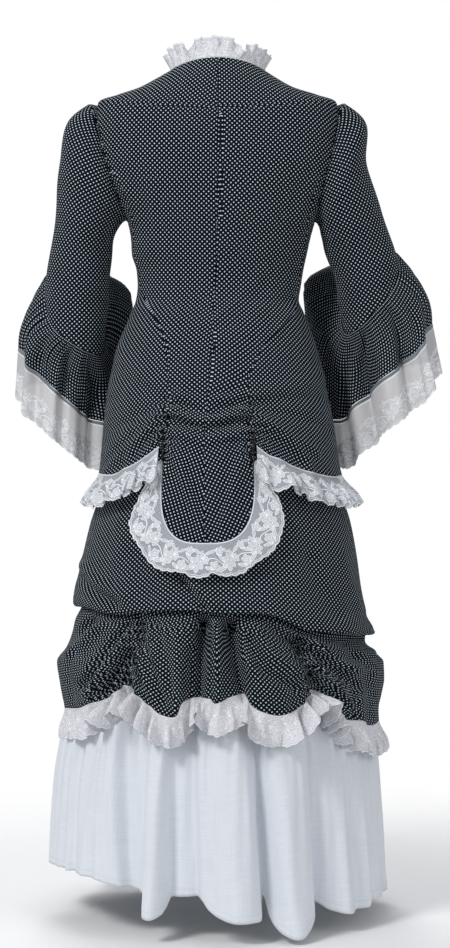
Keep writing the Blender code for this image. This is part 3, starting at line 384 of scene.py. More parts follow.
def shell(name, points, cut, closed, side, thick, outside, inside):
    """A thin cloth wall on a grid of points. The outer face is the grid, the inner lies under it."""
    rows, columns = points.shape[:2]
    normal = grid_normals(points, closed, side)
    vertices = np.concatenate([points.reshape(-1, 3), (points - normal * thick).reshape(-1, 3)])
    behind = rows * columns
    spans = columns if closed else columns - 1
    i, j = np.meshgrid(np.arange(rows - 1), np.arange(spans), indexing="ij")
    i, j = i.ravel(), j.ravel()
    after = (j + 1) % columns
    outer = np.stack([i * columns + j, (i + 1) * columns + j,
                      (i + 1) * columns + after, i * columns + after], 1)
    flat = cut.reshape(-1, 2)
    width = cut.shape[1]
    maps = np.stack([i * width + j, (i + 1) * width + j, (i + 1) * width + j + 1, i * width + j + 1], 1)
    j = np.arange(spans)
    after, last = (j + 1) % columns, (rows - 1) * columns
    rims = [np.stack([j + behind, j, after, after + behind], 1),
            np.stack([last + j, last + j + behind, last + after + behind, last + after], 1)]
    rim_maps = [np.stack([j, j, j + 1, j + 1], 1), np.stack([j, j, j + 1, j + 1], 1) + (rows - 1) * width]
    if not closed:
        i = np.arange(rows - 1)
        for column, turned in ((0, False), (columns - 1, True)):
            a, b = i * columns + column, (i + 1) * columns + column
            side_rim = np.stack([a, a + behind, b + behind, b], 1)
            side_map = np.stack([i * width + column, i * width + column, (i + 1) * width + column,
                                 (i + 1) * width + column], 1)
            rims.append(side_rim[:, ::-1] if turned else side_rim)
            rim_maps.append(side_map[:, ::-1] if turned else side_map)
    faces = np.concatenate([outer, outer[:, ::-1] + behind, *rims])
    loops = np.concatenate([maps, maps[:, ::-1], *rim_maps])
    if side > 0:
        faces, loops = faces[:, ::-1], loops[:, ::-1]
    mesh = bpy.data.meshes.new(name)
    mesh.from_pydata(vertices.tolist(), [], faces.tolist())
    mesh.uv_layers.new(name="cut").data.foreach_set("uv", flat[loops.ravel()].astype(np.float32).ravel())
    mesh.materials.append(outside)
    mesh.materials.append(inside)
    number = np.zeros(len(faces), dtype=np.int32)
    number[len(outer):2 * len(outer)] = 1
    mesh.polygons.foreach_set("material_index", number)
    mesh.shade_smooth()
    mesh.update()
    piece = bpy.data.objects.new(name, mesh)
    scene.collection.objects.link(piece)
    print(f"{name}: {2 * len(faces)} triangles")
    return piece


def stand_for(piece, nodes):
    """Parents a piece to the root and hides the solids that it stands for."""
    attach(piece, "root")
    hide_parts(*nodes)


def dress(piece, nodes, size):
    """The same for a sheet, and prints the width and length that it was cut to."""
    stand_for(piece, nodes)
    print(f"{piece.name}: cut {size[0]:.2f} x {size[1]:.2f} m")


def round_turns(columns, rows):
    """Turns all round the body, the same on every row."""
    return np.repeat((np.arange(columns) * 360.0 / columns - 180.0)[None, :], rows, axis=0)


def plain_cut(points):
    """The cut of an open grid that is measured along its own rows and columns."""
    return np.stack([row_lengths(points, points.shape[1] // 2), -column_lengths(points)], axis=-1)

# %% [markdown]
# ## The sizes of the suit
# These are the same sizes that the solids were built from, so a shell made from them lies on its solid. The
# neck, waist and hem girths come from the photograph's scale, with 1.65 mm to a pixel at the body's axis.

# %% Armhole, peplum and trims
ARMHOLE_TOP = 0.090
ARMHOLE_BOTTOM = 0.262
ARMHOLE_MIDDLE = (ARMHOLE_TOP + ARMHOLE_BOTTOM) / 2
ARMHOLE_HALF = (ARMHOLE_BOTTOM - ARMHOLE_TOP) / 2
ARMHOLE_SPREAD = 29.0
PEPLUM_START = 0.600
WAIST = 0.378
WAISTBAND_HEIGHT = 0.028
COLLAR_HEIGHT = 0.035
PEPLUM_LACE = 0.056
SKIRT_LACE = 0.050
CUFF_LACE = 0.076
CUFF_BAND = 0.006
FLOUNCE_FULL = 3.0
SEAM = 0.0004
print("armholes", round(2 * ARMHOLE_HALF, 3), "m high, waist", WAIST, "m below the nape")

# %% Sections of the garments
# Sections of a garment. level names the section and is its drop; at_back, at_side and at_front are the
# further drops of the ring there; left and right are half widths, back and fore are depths behind and
# before the body's axis, and square is 2 for an ellipse and more for a fuller corner
SECTION = ("level", "at_back", "at_side", "at_front", "left", "right", "back", "fore", "square")
JACKET = (
    (0.000, 0, 0.014, 0.055, 0.0790, 0.0780, 0.058, 0.068, 2.0),
    (0.035, 0, 0.007, 0.050, 0.1300, 0.1250, 0.078, 0.088, 2.2),
    (0.065, 0, -0.010, 0.045, 0.1700, 0.1680, 0.090, 0.100, 2.4),
    (0.090, 0, -0.023, 0.045, 0.1980, 0.1960, 0.097, 0.108, 2.5),
    (0.125, 0, -0.008, 0.040, 0.2030, 0.2020, 0.102, 0.118, 2.5),
    (0.160, 0, 0, 0.035, 0.1990, 0.1990, 0.104, 0.127, 2.5),
    (0.200, 0, 0, 0.030, 0.1860, 0.1880, 0.103, 0.132, 2.4),
    (0.235, 0, 0, 0.020, 0.1660, 0.1720, 0.100, 0.133, 2.3),
    (0.262, 0, 0, 0.013, 0.1490, 0.1600, 0.097, 0.131, 2.3),
    (0.290, 0, 0, 0.008, 0.1435, 0.1520, 0.093, 0.124, 2.2),
    (0.315, 0, 0, 0.004, 0.1420, 0.1465, 0.090, 0.115, 2.2),
    (0.340, 0, 0, 0, 0.1345, 0.1410, 0.086, 0.106, 2.1),
    (0.366, 0, 0, 0, 0.1325, 0.1370, 0.084, 0.100, 2.1),
    (0.390, 0, 0, 0, 0.1355, 0.1335, 0.088, 0.101, 2.1),
    (0.410, 0, 0, 0, 0.1430, 0.1415, 0.098, 0.104, 2.1),
    (0.430, 0, 0, 0, 0.1515, 0.1495, 0.108, 0.106, 2.1),
    (0.470, 0, 0, 0, 0.1675, 0.1640, 0.128, 0.112, 2.0),
    (0.500, 0, 0, 0, 0.1745, 0.1715, 0.142, 0.116, 2.0),
    (0.540, 0, 0, 0, 0.1825, 0.1802, 0.159, 0.122, 2.0),
    (0.600, 0, 0, 0, 0.1893, 0.1921, 0.179, 0.130, 2.0),
    (0.660, 0, 0, 0, 0.1942, 0.2003, 0.197, 0.139, 2.0),
    (0.700, 0, 0, 0, 0.2020, 0.2110, 0.210, 0.147, 2.0),
    (0.760, 0, 0, 0, 0.2190, 0.2290, 0.229, 0.158, 2.0),
    (0.840, 0, 0, 0, 0.2390, 0.2460, 0.257, 0.172, 2.0),
    (0.900, 0, 0, 0, 0.2550, 0.2600, 0.276, 0.185, 2.0),
)
OVERSKIRT = (
    (0.376, 0, 0, 0, 0.1289, 0.1300, 0.0812, 0.0970, 2.1),
    (0.392, 0, 0, 0, 0.1300, 0.1302, 0.0830, 0.0965, 2.1),
    (0.410, 0, 0, 0, 0.1340, 0.1330, 0.088, 0.096, 2.1),
    (0.430, 0, 0, 0, 0.1410, 0.1395, 0.098, 0.098, 2.1),
    (0.470, 0, 0, 0, 0.1600, 0.1570, 0.120, 0.104, 2.0),
    (0.500, 0, 0, 0, 0.1670, 0.1640, 0.134, 0.108, 2.0),
    (0.540, 0, 0, 0, 0.1750, 0.1730, 0.150, 0.114, 2.0),
    (0.600, 0, 0, 0, 0.1815, 0.1845, 0.170, 0.122, 2.0),
    (0.660, 0, 0, 0, 0.1865, 0.1925, 0.187, 0.131, 2.0),
    (0.700, 0, 0, 0, 0.1925, 0.2015, 0.199, 0.139, 2.0),
    (0.760, 0, 0, 0, 0.2110, 0.2200, 0.217, 0.149, 2.0),
    (0.800, 0, 0, 0, 0.2210, 0.2300, 0.230, 0.156, 2.0),
    (0.830, 0, 0, 0, 0.2285, 0.2360, 0.242, 0.161, 2.0),
    (0.860, 0, 0, 0, 0.2360, 0.2440, 0.254, 0.166, 2.0),
    (0.880, 0, 0, 0, 0.2385, 0.2560, 0.262, 0.171, 2.0),
    (0.895, -0.009, -0.009, -0.009, 0.2372, 0.2585, 0.262, 0.171, 2.0),
    (0.910, -0.021, -0.021, -0.021, 0.2315, 0.2545, 0.257, 0.167, 2.0),
    (0.925, -0.050, -0.050, -0.050, 0.2235, 0.2460, 0.248, 0.161, 2.0),
)
OVERSKIRT_LOWER = (
    (0.872, 0, 0, 0, 0.2217, 0.2442, 0.2462, 0.1592, 2.0),
    (0.880, 0, 0, 0, 0.2217, 0.2440, 0.2460, 0.1590, 2.0),
    (0.910, 0, 0, 0, 0.2365, 0.2435, 0.251, 0.162, 2.0),
    (0.935, 0, 0, 0, 0.2420, 0.2465, 0.260, 0.169, 2.0),
    (0.957, 0, 0, 0, 0.2500, 0.2550, 0.268, 0.175, 2.0),
    (0.982, 0, 0, 0, 0.2660, 0.2735, 0.272, 0.183, 2.0),
    (1.010, 0, 0, 0, 0.2620, 0.2745, 0.273, 0.189, 2.0),
    (1.035, 0, 0, 0, 0.2575, 0.2700, 0.272, 0.194, 2.0),
    (1.060, 0, 0, 0, 0.2530, 0.2650, 0.271, 0.199, 2.0),
    (1.150, 0, 0, 0, 0.2660, 0.2730, 0.279, 0.215, 2.0),
)
UNDERSKIRT = (
    (0.376, 0, 0, 0, 0.1270, 0.1281, 0.0793, 0.0951, 2.1),
    (0.410, 0, 0, 0, 0.1280, 0.1280, 0.082, 0.093, 2.1),
    (0.430, 0, 0, 0, 0.1340, 0.1330, 0.090, 0.094, 2.1),
    (0.500, 0, 0, 0, 0.1540, 0.1520, 0.122, 0.100, 2.0),
    (0.600, 0, 0, 0, 0.1700, 0.1730, 0.156, 0.112, 2.0),
    (0.700, 0, 0, 0, 0.1800, 0.1880, 0.182, 0.126, 2.0),
    (0.800, 0, 0, 0, 0.1950, 0.2020, 0.201, 0.138, 2.0),
    (0.900, 0, 0, 0, 0.2060, 0.2120, 0.216, 0.146, 2.0),
    (0.985, 0, 0, 0, 0.2150, 0.2220, 0.228, 0.154, 2.0),
)
UNDERSKIRT_FLOUNCE = (
    (0.985, 0, 0, 0, 0.2155, 0.2225, 0.2285, 0.1545, 2.0),
    (1.020, 0, 0, 0, 0.2280, 0.2360, 0.240, 0.170, 2.0),
    (1.060, 0, 0, 0, 0.2380, 0.2470, 0.250, 0.184, 2.0),
    (1.107, 0, 0, 0, 0.2500, 0.2570, 0.258, 0.198, 2.0),
    (1.170, 0, 0, 0, 0.2600, 0.2640, 0.266, 0.212, 2.0),
    (1.250, 0, 0, 0, 0.2650, 0.2690, 0.271, 0.226, 2.0),
    (1.380, 0, 0, 0, 0.2700, 0.2750, 0.277, 0.242, 2.0),
)

print("hem of the underskirt", 2 * UNDERSKIRT_FLOUNCE[-1][SECTION.index("left")], "m wide before its folds")

# %% Seam lines over the jacket, as the turn of each seam at each level
SEAM_LINE = ("level", "turn")
CENTRE_BACK = (
    (0.00, 0.0), (0.15, 0.1), (0.36, 1.3), (0.39, 2.6), (0.47, 3.4), (0.55, 5.0), (0.633, 6.2), (0.79, 5.2),
)
SIDE_BACK_LEFT = (
    (0.170, 66.0), (0.205, 54.0), (0.253, 64.0), (0.300, 73.0), (0.360, 74.0), (0.385, 66.0), (0.411, 49.0),
    (0.440, 38.0), (0.474, 30.0), (0.516, 26.5), (0.545, 25.5), (0.633, 26.6), (0.790, 26.6),
)
SIDE_BACK_RIGHT = (
    (0.170, -66.0), (0.205, -54.0), (0.253, -62.0), (0.300, -71.0), (0.360, -75.0), (0.388, -70.0),
    (0.411, -60.0), (0.441, -40.0), (0.475, -26.0), (0.500, -20.0), (0.532, -15.5), (0.633, -16.6),
    (0.790, -16.6),
)

# %% Hems, as the drop at each turn
HEM = ("turn", "drop")
SIDE_SCALLOP_LEFT = (
    (26.6, 0.633), (32.5, 0.646), (43.0, 0.662), (61.0, 0.677), (82.0, 0.675), (180.0, 0.672),
)
SIDE_SCALLOP_RIGHT = (
    (16.6, 0.633), (24.0, 0.648), (34.0, 0.662), (48.0, 0.674), (66.0, 0.680), (85.0, 0.677), (180.0, 0.672),
)
TAIL_CENTRE = 5.0
TAIL_HALF = 21.6
TAIL_APEX = 0.633
TAIL_BOTTOM = 0.782
TAIL_CORNER = 3.2
TAIL_ROUND = 2.6
# The overskirt's pouf sinks from POUF_LEVEL to its lowest edge at OVERHANG_LEVEL, and its lower part starts
# behind the turned-up edge
POUF_LEVEL = 0.74
OVERHANG_LEVEL = 0.880
LOWER_TOP = 0.872
LOWER_SETTLES = 0.12
LOWER_LIP = 0.885
OVERHANG = (
    (-180, 0.905), (-140, 0.912), (-90, 0.930), (-44, 0.916), (-31.5, 0.907), (-23, 0.891), (-16, 0.882),
    (-3, 0.881), (10, 0.876), (25, 0.879), (42, 0.887), (65, 0.881), (90, 0.886), (140, 0.900), (180, 0.905),
)

# %% Folds
# Folds run down a form between two levels: their turn and height out of the cloth at the upper and lower
# end, and their half width in degrees. A trough has a negative height. The columns are upper, lower,
# turn_upper, turn_lower, half, high_upper and high_lower
UNDERSKIRT_FOLDS = (
    (1.00, 1.36, 30, 33, 5.0, -0.004, -0.016),
    (1.00, 1.36, 19, 21.5, 4.0, 0.004, 0.016),
    (1.00, 1.36, 15, 16.8, 2.6, -0.004, -0.018),
    (1.00, 1.36, 9, 8.5, 4.5, -0.003, -0.016),
    (1.00, 1.36, -2, -7, 7.5, 0.003, 0.018),
    (1.00, 1.36, -13, -17, 3.0, -0.004, -0.022),
    (1.00, 1.36, -21, -25, 5.5, 0.005, 0.022),
    (1.00, 1.36, -31, -36.5, 5.0, -0.005, -0.020),
    (1.00, 1.36, -42, -47, 5.5, 0.003, 0.012),
    (1.00, 1.36, -50, -54, 4.0, -0.002, -0.010),
    (1.00, 1.36, -62, -67, 8.0, 0.003, 0.008),
    (1.00, 1.36, 44, 50, 8.0, 0.003, 0.010),
    (1.00, 1.36, 66, 68, 6.0, -0.002, -0.010),
    (1.00, 1.36, 84, 88, 8.0, 0.002, 0.008),
    (1.00, 1.36, 104, 106, 5.0, -0.003, -0.014),
    (1.00, 1.36, 126, 128, 8.0, 0.003, 0.014),
    (1.00, 1.36, 146, 147, 5.0, -0.003, -0.014),
    (1.00, 1.36, 165, 166, 7.0, 0.003, 0.014),
    (1.00, 1.36, -80, -84, 5.0, -0.002, -0.010),
    (1.00, 1.36, -102, -104, 8.0, 0.003, 0.012),
    (1.00, 1.36, -126, -127, 5.0, -0.003, -0.014),
    (1.00, 1.36, -150, -150, 8.0, 0.003, 0.014),
    (1.00, 1.36, -174, -175, 5.0, -0.003, -0.012),
)
OVERSKIRT_LOWER_FOLDS = (
    (0.90, 1.04, 5.0, 7.5, 2.6, -0.014, -0.006),
    (0.90, 1.04, -4.0, -7.0, 2.8, -0.014, -0.006),
    (0.90, 1.04, 0.5, -1.0, 3.0, 0.006, 0.003),
    (0.90, 1.04, 16, 15, 7.0, 0.006, 0.010),
    (0.90, 1.02, 31, 34, 3.4, -0.012, -0.014),
    (0.92, 1.05, 42, 55, 5.0, 0.006, 0.006),
    (0.90, 1.04, -18, -20, 7.0, 0.006, 0.010),
    (0.92, 1.02, -32, -34.5, 3.4, -0.012, -0.014),
    (0.93, 1.06, -42, -58, 5.0, 0.006, 0.008),
    (0.93, 1.06, -55, -66, 4.0, -0.007, -0.004),
    (0.90, 1.05, 62, 66, 4.0, -0.006, -0.004),
    (0.90, 1.05, 88, 92, 6.0, -0.006, -0.003),
    (0.90, 1.05, 112, 114, 7.0, 0.005, 0.004),
    (0.90, 1.05, 136, 137, 6.0, -0.005, -0.004),
    (0.90, 1.05, 160, 160, 8.0, 0.005, 0.004),
    (0.90, 1.05, -90, -92, 6.0, -0.006, -0.003),
    (0.90, 1.05, -114, -114, 7.0, 0.005, 0.004),
    (0.90, 1.05, -138, -138, 6.0, -0.005, -0.004),
    (0.90, 1.05, -162, -160, 8.0, 0.005, 0.004),
)
OVERSKIRT_FOLDS = (
    (0.76, 0.93, 20, 10, 4.0, 0.000, -0.005),
    (0.78, 0.93, 34, 36, 6.0, 0.000, 0.005),
    (0.76, 0.93, -30, -33, 5.0, 0.000, -0.005),
    (0.76, 0.93, -52, -54, 9.0, 0.000, 0.005),
)
TAIL_FOLDS = (
    (0.64, 0.78, 18, 6, 2.6, 0.004, 0.002),
    (0.65, 0.78, -12, -2, 2.6, 0.004, 0.002),
    (0.64, 0.76, 24, 19, 3.0, -0.002, -0.001),
)
# Swags hang between the two gathered lines of the peplum. The columns are the lowest drop at the centre,
# how far the ends rise, half height and depth out of the cloth
PEPLUM_SWAGS = (
    (0.558, 0.016, 0.007, 0.005),
    (0.588, 0.014, 0.008, 0.006),
    (0.617, 0.010, 0.008, 0.005),
)
# Where the swags end, as shares of TAIL_HALF, and the levels between which the peplum's folds show
SWAG_EDGE = 1.06
SWAG_FADE = 0.385
FOLDS_FROM = 0.56
FOLDS_FADE = 0.03
RAYS_UNTIL = 0.70
# Short folds that a gathered line throws out into a side scallop
PEPLUM_RAYS = (
    (0.575, 0.650, 27, 48, 3.2, 0.004, 0.004),
    (0.590, 0.670, 27, 66, 4.0, 0.004, 0.004),
    (0.570, 0.655, -16, -46, 3.2, 0.005, 0.005),
    (0.600, 0.670, -17, -30, 3.0, 0.004, 0.003),
)

# %% Sleeves
# Rings down the arm. The columns are the drop of the ring's centre, out and y where it is, a tilt from
# facing sideways at the armhole to facing down, and its half sizes across and deep
ARM_LEFT = (
    (0.179, 0.1980, 0.000, 30.0, 0.0916, 0.066),
    (0.2145, 0.2103, 0.000, 45.5, 0.0706, 0.064),
    (0.259, 0.2192, -0.003, 63.0, 0.0540, 0.058),
    (0.305, 0.2257, -0.009, 84.0, 0.0508, 0.054),
    (0.360, 0.2325, -0.016, 90.0, 0.0530, 0.053),
    (0.490, 0.2390, -0.026, 90.0, 0.0500, 0.050),
)
ARM_RIGHT = (
    (0.181, 0.2020, 0.000, 26.0, 0.0900, 0.066),
    (0.2165, 0.2060, 0.000, 37.0, 0.0650, 0.064),
    (0.2625, 0.2205, -0.003, 65.0, 0.0545, 0.058),
    (0.304, 0.2340, -0.009, 86.0, 0.0575, 0.055),
    (0.360, 0.2495, -0.016, 90.0, 0.0545, 0.054),
    (0.490, 0.2620, -0.026, 90.0, 0.0500, 0.050),
)
ARM_TOP_LEVEL = 0.150
# The slanted end of a sleeve and the hem of its flounce, as drops round the arm
SLEEVE_END = ("angle", "end", "hem")
END_LEFT = (
    (0, 0.360, 0.455), (30, 0.411, 0.475), (60, 0.443, 0.506), (90, 0.462, 0.538), (120, 0.476, 0.574),
    (150, 0.481, 0.591), (180, 0.462, 0.580), (205, 0.398, 0.545), (230, 0.347, 0.490), (270, 0.328, 0.452),
    (315, 0.328, 0.442), (340, 0.340, 0.444), (360, 0.360, 0.455),
)
END_RIGHT = (
    (0, 0.320, 0.418), (30, 0.352, 0.438), (60, 0.383, 0.475), (90, 0.411, 0.508), (120, 0.436, 0.543),
    (150, 0.446, 0.586), (180, 0.430, 0.582), (205, 0.375, 0.530), (230, 0.331, 0.474), (270, 0.308, 0.436),
    (315, 0.302, 0.415), (340, 0.306, 0.410), (360, 0.320, 0.418),
)
# Flounce hems in plan. The columns are out and y of the centre, the half sizes of a leaning oval, how far
# the oval is turned, and how far the lace below it swings outwards for each metre down
HEM_LEFT = (0.2450, -0.072, 0.099, 0.056, 42.0, 0.04)
HEM_RIGHT = (0.2630, -0.062, 0.105, 0.059, 42.0, 0.18)
# Folds round a flounce. The columns are the arm's angle, half width in degrees and height out at the hem
FLOUNCE_FOLDS = (
    (226, 38, 0.038), (10, 11, 0.006), (32, 9, -0.006), (52, 10, 0.007), (74, 8, -0.010), (95, 10, 0.008),
    (117, 8, -0.008), (138, 9, 0.005), (160, 9, -0.005), (185, 10, 0.004), (208, 9, -0.004), (232, 11, 0.007),
    (256, 9, -0.006), (280, 11, 0.007), (304, 9, -0.006), (328, 11, 0.006), (350, 8, -0.005),
)

# %% [markdown]
# ## Creases measured in the picture
# The largest folds are in the solids. The smaller creases that catch the light are listed here: each
# is a bent line over three points of the picture, with its half width and height in millimetres. A
# trough has a negative height. The lines are taken to the cloth through the camera, at the depth where
# that cloth lies.

# %% Creases
# The columns are from x, from y, over x, over y, to x and to y in the picture, then half width and height
JACKET_MARKS = from_picture((
    (166, 419, 206, 433, 248, 419, 5.2, -6.5),
    (165, 430, 206, 444, 249, 431, 5.5, 3.8),
    (168, 402, 206, 416, 245, 404, 5.6, -4.9),
    (168, 411, 206, 425, 246, 411, 5.0, 3.2),
    (170, 388, 206, 399, 243, 390, 6.0, -2.9),
    (262, 271, 238, 297, 212, 324, 6.2, 2.3),
    (268, 283, 246, 309, 226, 330, 7.8, -1.8),
    (160, 188, 158, 212, 163, 236, 4.7, -1.6),
    (282, 188, 285, 205, 281, 224, 4.7, -1.6),
    (137, 292, 160, 300, 186, 303, 7.8, -2),
    (136, 302, 158, 312, 180, 318, 7.8, 2.2),
    (299, 292, 276, 305, 262, 322, 7, -1.8),
    (300, 303, 285, 316, 276, 335, 6.2, 2),
    (112, 172, 128, 190, 137, 216, 7, 2.3),
    (120, 168, 138, 190, 148, 222, 7.8, -1.8),
    (318, 176, 306, 196, 300, 220, 7, 2.2),
    (308, 172, 296, 192, 290, 214, 7.8, -1.6),
    (118, 350, 140, 372, 166, 389, 9.3, 3.2),
    (112, 372, 138, 388, 164, 399, 9.3, -2.9),
    (330, 372, 300, 384, 250, 396, 9.3, 3.2),
    (334, 392, 300, 400, 256, 404, 7.8, -3.2),
    (106, 455, 128, 432, 160, 413, 7.8, 4.3),
    (104, 432, 132, 420, 161, 405, 8.5, -3.5),
    (122, 466, 142, 446, 160, 424, 7.8, -3.8),
    (142, 460, 152, 446, 162, 431, 6.2, 3.2),
    (250, 414, 282, 430, 316, 452, 7.8, 5.8),
    (250, 424, 276, 442, 300, 464, 7.8, -4.9),
    (252, 406, 290, 416, 330, 428, 7.8, -3.5),
    (250, 434, 262, 450, 274, 462, 6.2, 3.8),
), 0.10)
TAIL_MARKS = from_picture((
    (170, 447, 186, 490, 205, 534, 6.2, 3),
    (178, 447, 196, 488, 212, 530, 7, -3),
    (240, 450, 232, 490, 222, 524, 6.2, 3),
    (232, 452, 226, 488, 217, 520, 6.2, -2.7),
    (205, 440, 204, 470, 205, 500, 4.7, -1.5),
), 0.19)
OVERSKIRT_MARKS = from_picture((
    (178, 578, 190, 592, 203, 607, 7, -9),
    (186, 572, 198, 588, 214, 602, 7.8, 6),
    (73, 583, 90, 597, 112, 606, 7.8, -9),
    (76, 571, 94, 586, 124, 598, 9.3, 6),
    (118, 520, 116, 560, 122, 590, 14, 3.8),
    (139, 540, 140, 570, 146, 596, 12.4, -3.8),
    (290, 530, 296, 570, 300, 612, 14, 4.5),
    (312, 560, 322, 590, 340, 616, 12.4, -5.2),
    (346, 560, 356, 590, 368, 618, 10.8, 4.5),
    (250, 575, 256, 590, 262, 604, 10.8, -3),
), 0.24)
LOWER_MARKS = from_picture((
    (204, 610, 201, 650, 198, 695, 8.5, -22),
    (228, 610, 235, 650, 244, 694, 8.5, -22),
    (216, 610, 217, 650, 219, 702, 7, 12),
    (191, 650, 189, 680, 187, 706, 6.2, -13.3),
    (179, 630, 178, 670, 177, 708, 9.3, 8.8),
    (138, 628, 148, 665, 164, 702, 6.2, -6.6),
    (134, 646, 141, 672, 152, 698, 5.4, 5.5),
    (152, 622, 164, 655, 172, 690, 7.8, -5.5),
    (262, 614, 284, 640, 308, 655, 6.2, -11.1),
    (272, 613, 290, 632, 308, 642, 6.2, 8.8),
    (252, 622, 268, 652, 300, 672, 7.8, 8.8),
    (250, 640, 266, 672, 296, 690, 7, -9.9),
    (247, 660, 262, 688, 284, 704, 7.8, 7.8),
    (129, 622, 104, 652, 74, 694, 6.2, -13.6),
    (122, 612, 92, 634, 66, 662, 7.8, 13.3),
    (126, 640, 104, 672, 84, 702, 7, 13.3),
    (126, 656, 112, 680, 100, 698, 5.4, -13.3),
    (124, 668, 116, 684, 110, 694, 4.7, 7.8),
    (120, 612, 96, 618, 72, 640, 6.2, -11.1),
    (308, 634, 338, 640, 368, 646, 6.2, -11.9),
    (308, 628, 338, 630, 372, 634, 6.2, 8.8),
    (311, 644, 344, 656, 378, 664, 7, 11.9),
    (312, 656, 338, 674, 362, 690, 6.2, -11.9),
    (313, 664, 334, 688, 350, 712, 7, 13.3),
    (314, 676, 326, 694, 336, 706, 5.4, -11.1),
    (314, 648, 346, 668, 380, 682, 6.2, 8.8),
), 0.26)

# %% [markdown]
# ## The forms
# A form gives the outer face of a garment at a turn and a level. The jacket's has swags and folds where
# its peplum is drawn up between two gathered lines. The overskirt hangs to a turned-under lip, and its
# lower part comes out from behind that lip and is ruched up at two lines, which draw the hem into
# scallops.

# %% Jacket and skirts
# The underskirt's folds end square in its hem, so the hem steps at the edge of each on the back
FLOUNCE_HEM = (
    (-180, 1.345), (-120, 1.350), (-87, 1.362), (-74, 1.357), (-66, 1.353), (-60, 1.350), (-57, 1.359),
    (-47, 1.361), (-41, 1.353), (-36.5, 1.338), (-34.2, 1.334), (-32.4, 1.354), (-29, 1.375), (-24, 1.384),
    (-20.5, 1.377), (-18.2, 1.358), (-17.0, 1.322), (-15.8, 1.342), (-13.5, 1.356), (-6, 1.356), (-1, 1.350),
    (2.7, 1.338), (6, 1.322), (10, 1.323), (16.8, 1.325), (17.8, 1.346), (20.7, 1.353), (23.8, 1.350),
    (24.9, 1.324), (33, 1.317), (38, 1.311), (49, 1.305), (80, 1.312), (120, 1.325), (180, 1.345),
)
# The edges of those folds: turn under the seam, turn at the hem, height above, height at the hem. Where the
# height is positive the cloth on the edge's left stands forward, and where it is negative that on its right
FLOUNCE_EDGES = (
    (39.5, 33.9, 0.010, 0.013), (24.3, 24.6, -0.006, -0.013), (17.6, 17.5, 0.010, 0.015),
    (8.0, 6.2, -0.010, -0.012), (-32.0, -33.4, 0.011, 0.013), (-55.5, -59.5, 0.008, 0.011),
    (66.0, 62.0, 0.008, 0.010),
    (96.0, 98.0, -0.004, -0.011), (118.0, 116.0, 0.004, 0.012), (152.0, 154.0, -0.004, -0.011),
    (-90.0, -93.0, 0.004, 0.011), (-121.0, -118.0, -0.004, -0.011), (-158.0, -161.0, 0.004, 0.011),
)
FLOUNCE_PLEATS = (
    (0.99, 1.36, -14.0, -16.9, 2.2, -0.018, -0.022),
    (0.99, 1.20, -8.0, -13.0, 1.8, -0.010, -0.004),
    (0.99, 1.14, 1.5, 0.5, 2.2, -0.008, -0.002),
    (0.99, 1.16, -3.5, -5.5, 2.4, 0.008, 0.003),
    (0.99, 1.22, -38.5, -43.0, 2.2, -0.009, -0.004),
    (0.99, 1.18, -24.0, -25.5, 2.0, -0.008, -0.002),
    (0.99, 1.18, 31.0, 30.0, 2.4, -0.008, -0.002),
    (0.99, 1.20, 50.0, 47.0, 2.6, -0.009, -0.003),
    (0.99, 1.16, 12.5, 12.0, 2.0, -0.007, -0.002),
    (0.99, 1.18, -66.0, -68.0, 3.0, -0.008, -0.003),
)
EDGE_TURNS = 0.8
EDGE_FADES = 7.0
HEM_LEVEL = 1.36
# The overskirt's hem steps where a fold ends in it, most of all between the two ruches
WORN_HEM = (
    (-180, 1.050), (-140, 1.058), (-100, 1.072), (-70, 1.079), (-63, 1.074), (-56, 1.064), (-50, 1.061),
    (-45, 1.043), (-39, 1.021), (-34.4, 1.010), (-31, 1.022), (-26, 1.037), (-19.8, 1.044), (-14, 1.037),
    (-10.5, 1.026), (-9.2, 1.012), (-5, 1.014), (-1, 1.021), (1, 1.024), (2.5, 1.017), (8, 1.017),
    (11.5, 1.023), (12.8, 1.040), (14.7, 1.046), (19, 1.043), (24, 1.029), (29, 1.014), (34, 1.002),
    (39, 1.018), (44, 1.028), (50, 1.035), (56, 1.044), (70, 1.052), (100, 1.062), (140, 1.058), (180, 1.050),
)
# Where the cloth is drawn up. A line is a turn, or a turn above and one below, and tucks are pitch,
# height and reach; the radii turn degrees into metres along the cloth
GATHER_LEFT, GATHER_RIGHT = 26.6, -16.6
GATHER_FROM, GATHER_TO = 0.545, 0.665
GATHER_RADIUS = 0.19
GATHER_TUCKS = (0.0110, 0.0044, 0.026)
RUCHE_LEFT, RUCHE_RIGHT = (31.0, 34.0), (-32.0, -34.5)
RUCHE_FROM, RUCHE_RUN = 0.90, 0.12
RUCHE_RADIUS = 0.27
RUCHE_TUCKS = (0.0125, 0.0062, 0.030)
TAIL_LEVEL = 0.62
POUF_CREASED_TO = 0.905
EDGE_SOFT = 0.02
# The flounce's seam gathers, then its long and its short unevenness: height and sizes round and down the
# cloth
FLOUNCE_RADIUS = 0.25
FLOUNCE_FALL = 0.36
SEAM_GATHERS = (0.0034, 0.016, 0.10)
LONG_WAVES = (0.0030, 0.062, 0.9)
SHORT_WAVES = (0.0022, 0.026, 0.30)


def jacket(turn, level):
    between = (turn - TAIL_CENTRE) / TAIL_HALF
    held = ease((SWAG_EDGE - np.abs(between)) / SWAG_FADE)
    out = np.zeros(np.broadcast(turn, level).shape)
    for drop, rise, half, high in PEPLUM_SWAGS:
        out = out + high * held * bell((level - drop + rise * between ** 2) / half)
    below_hips = ease((level - FOLDS_FROM) / FOLDS_FADE)
    above_hem = ease((RAYS_UNTIL - level) / FOLDS_FADE)
    side = ease((np.abs(between) - 0.9) * 4)
    out = out + side * below_hips * above_hem * fold_height(PEPLUM_RAYS, turn, level)
    out = out + held * below_hips * fold_height(TAIL_FOLDS, turn, level)
    return push_out(section_point(JACKET, turn, level), out)


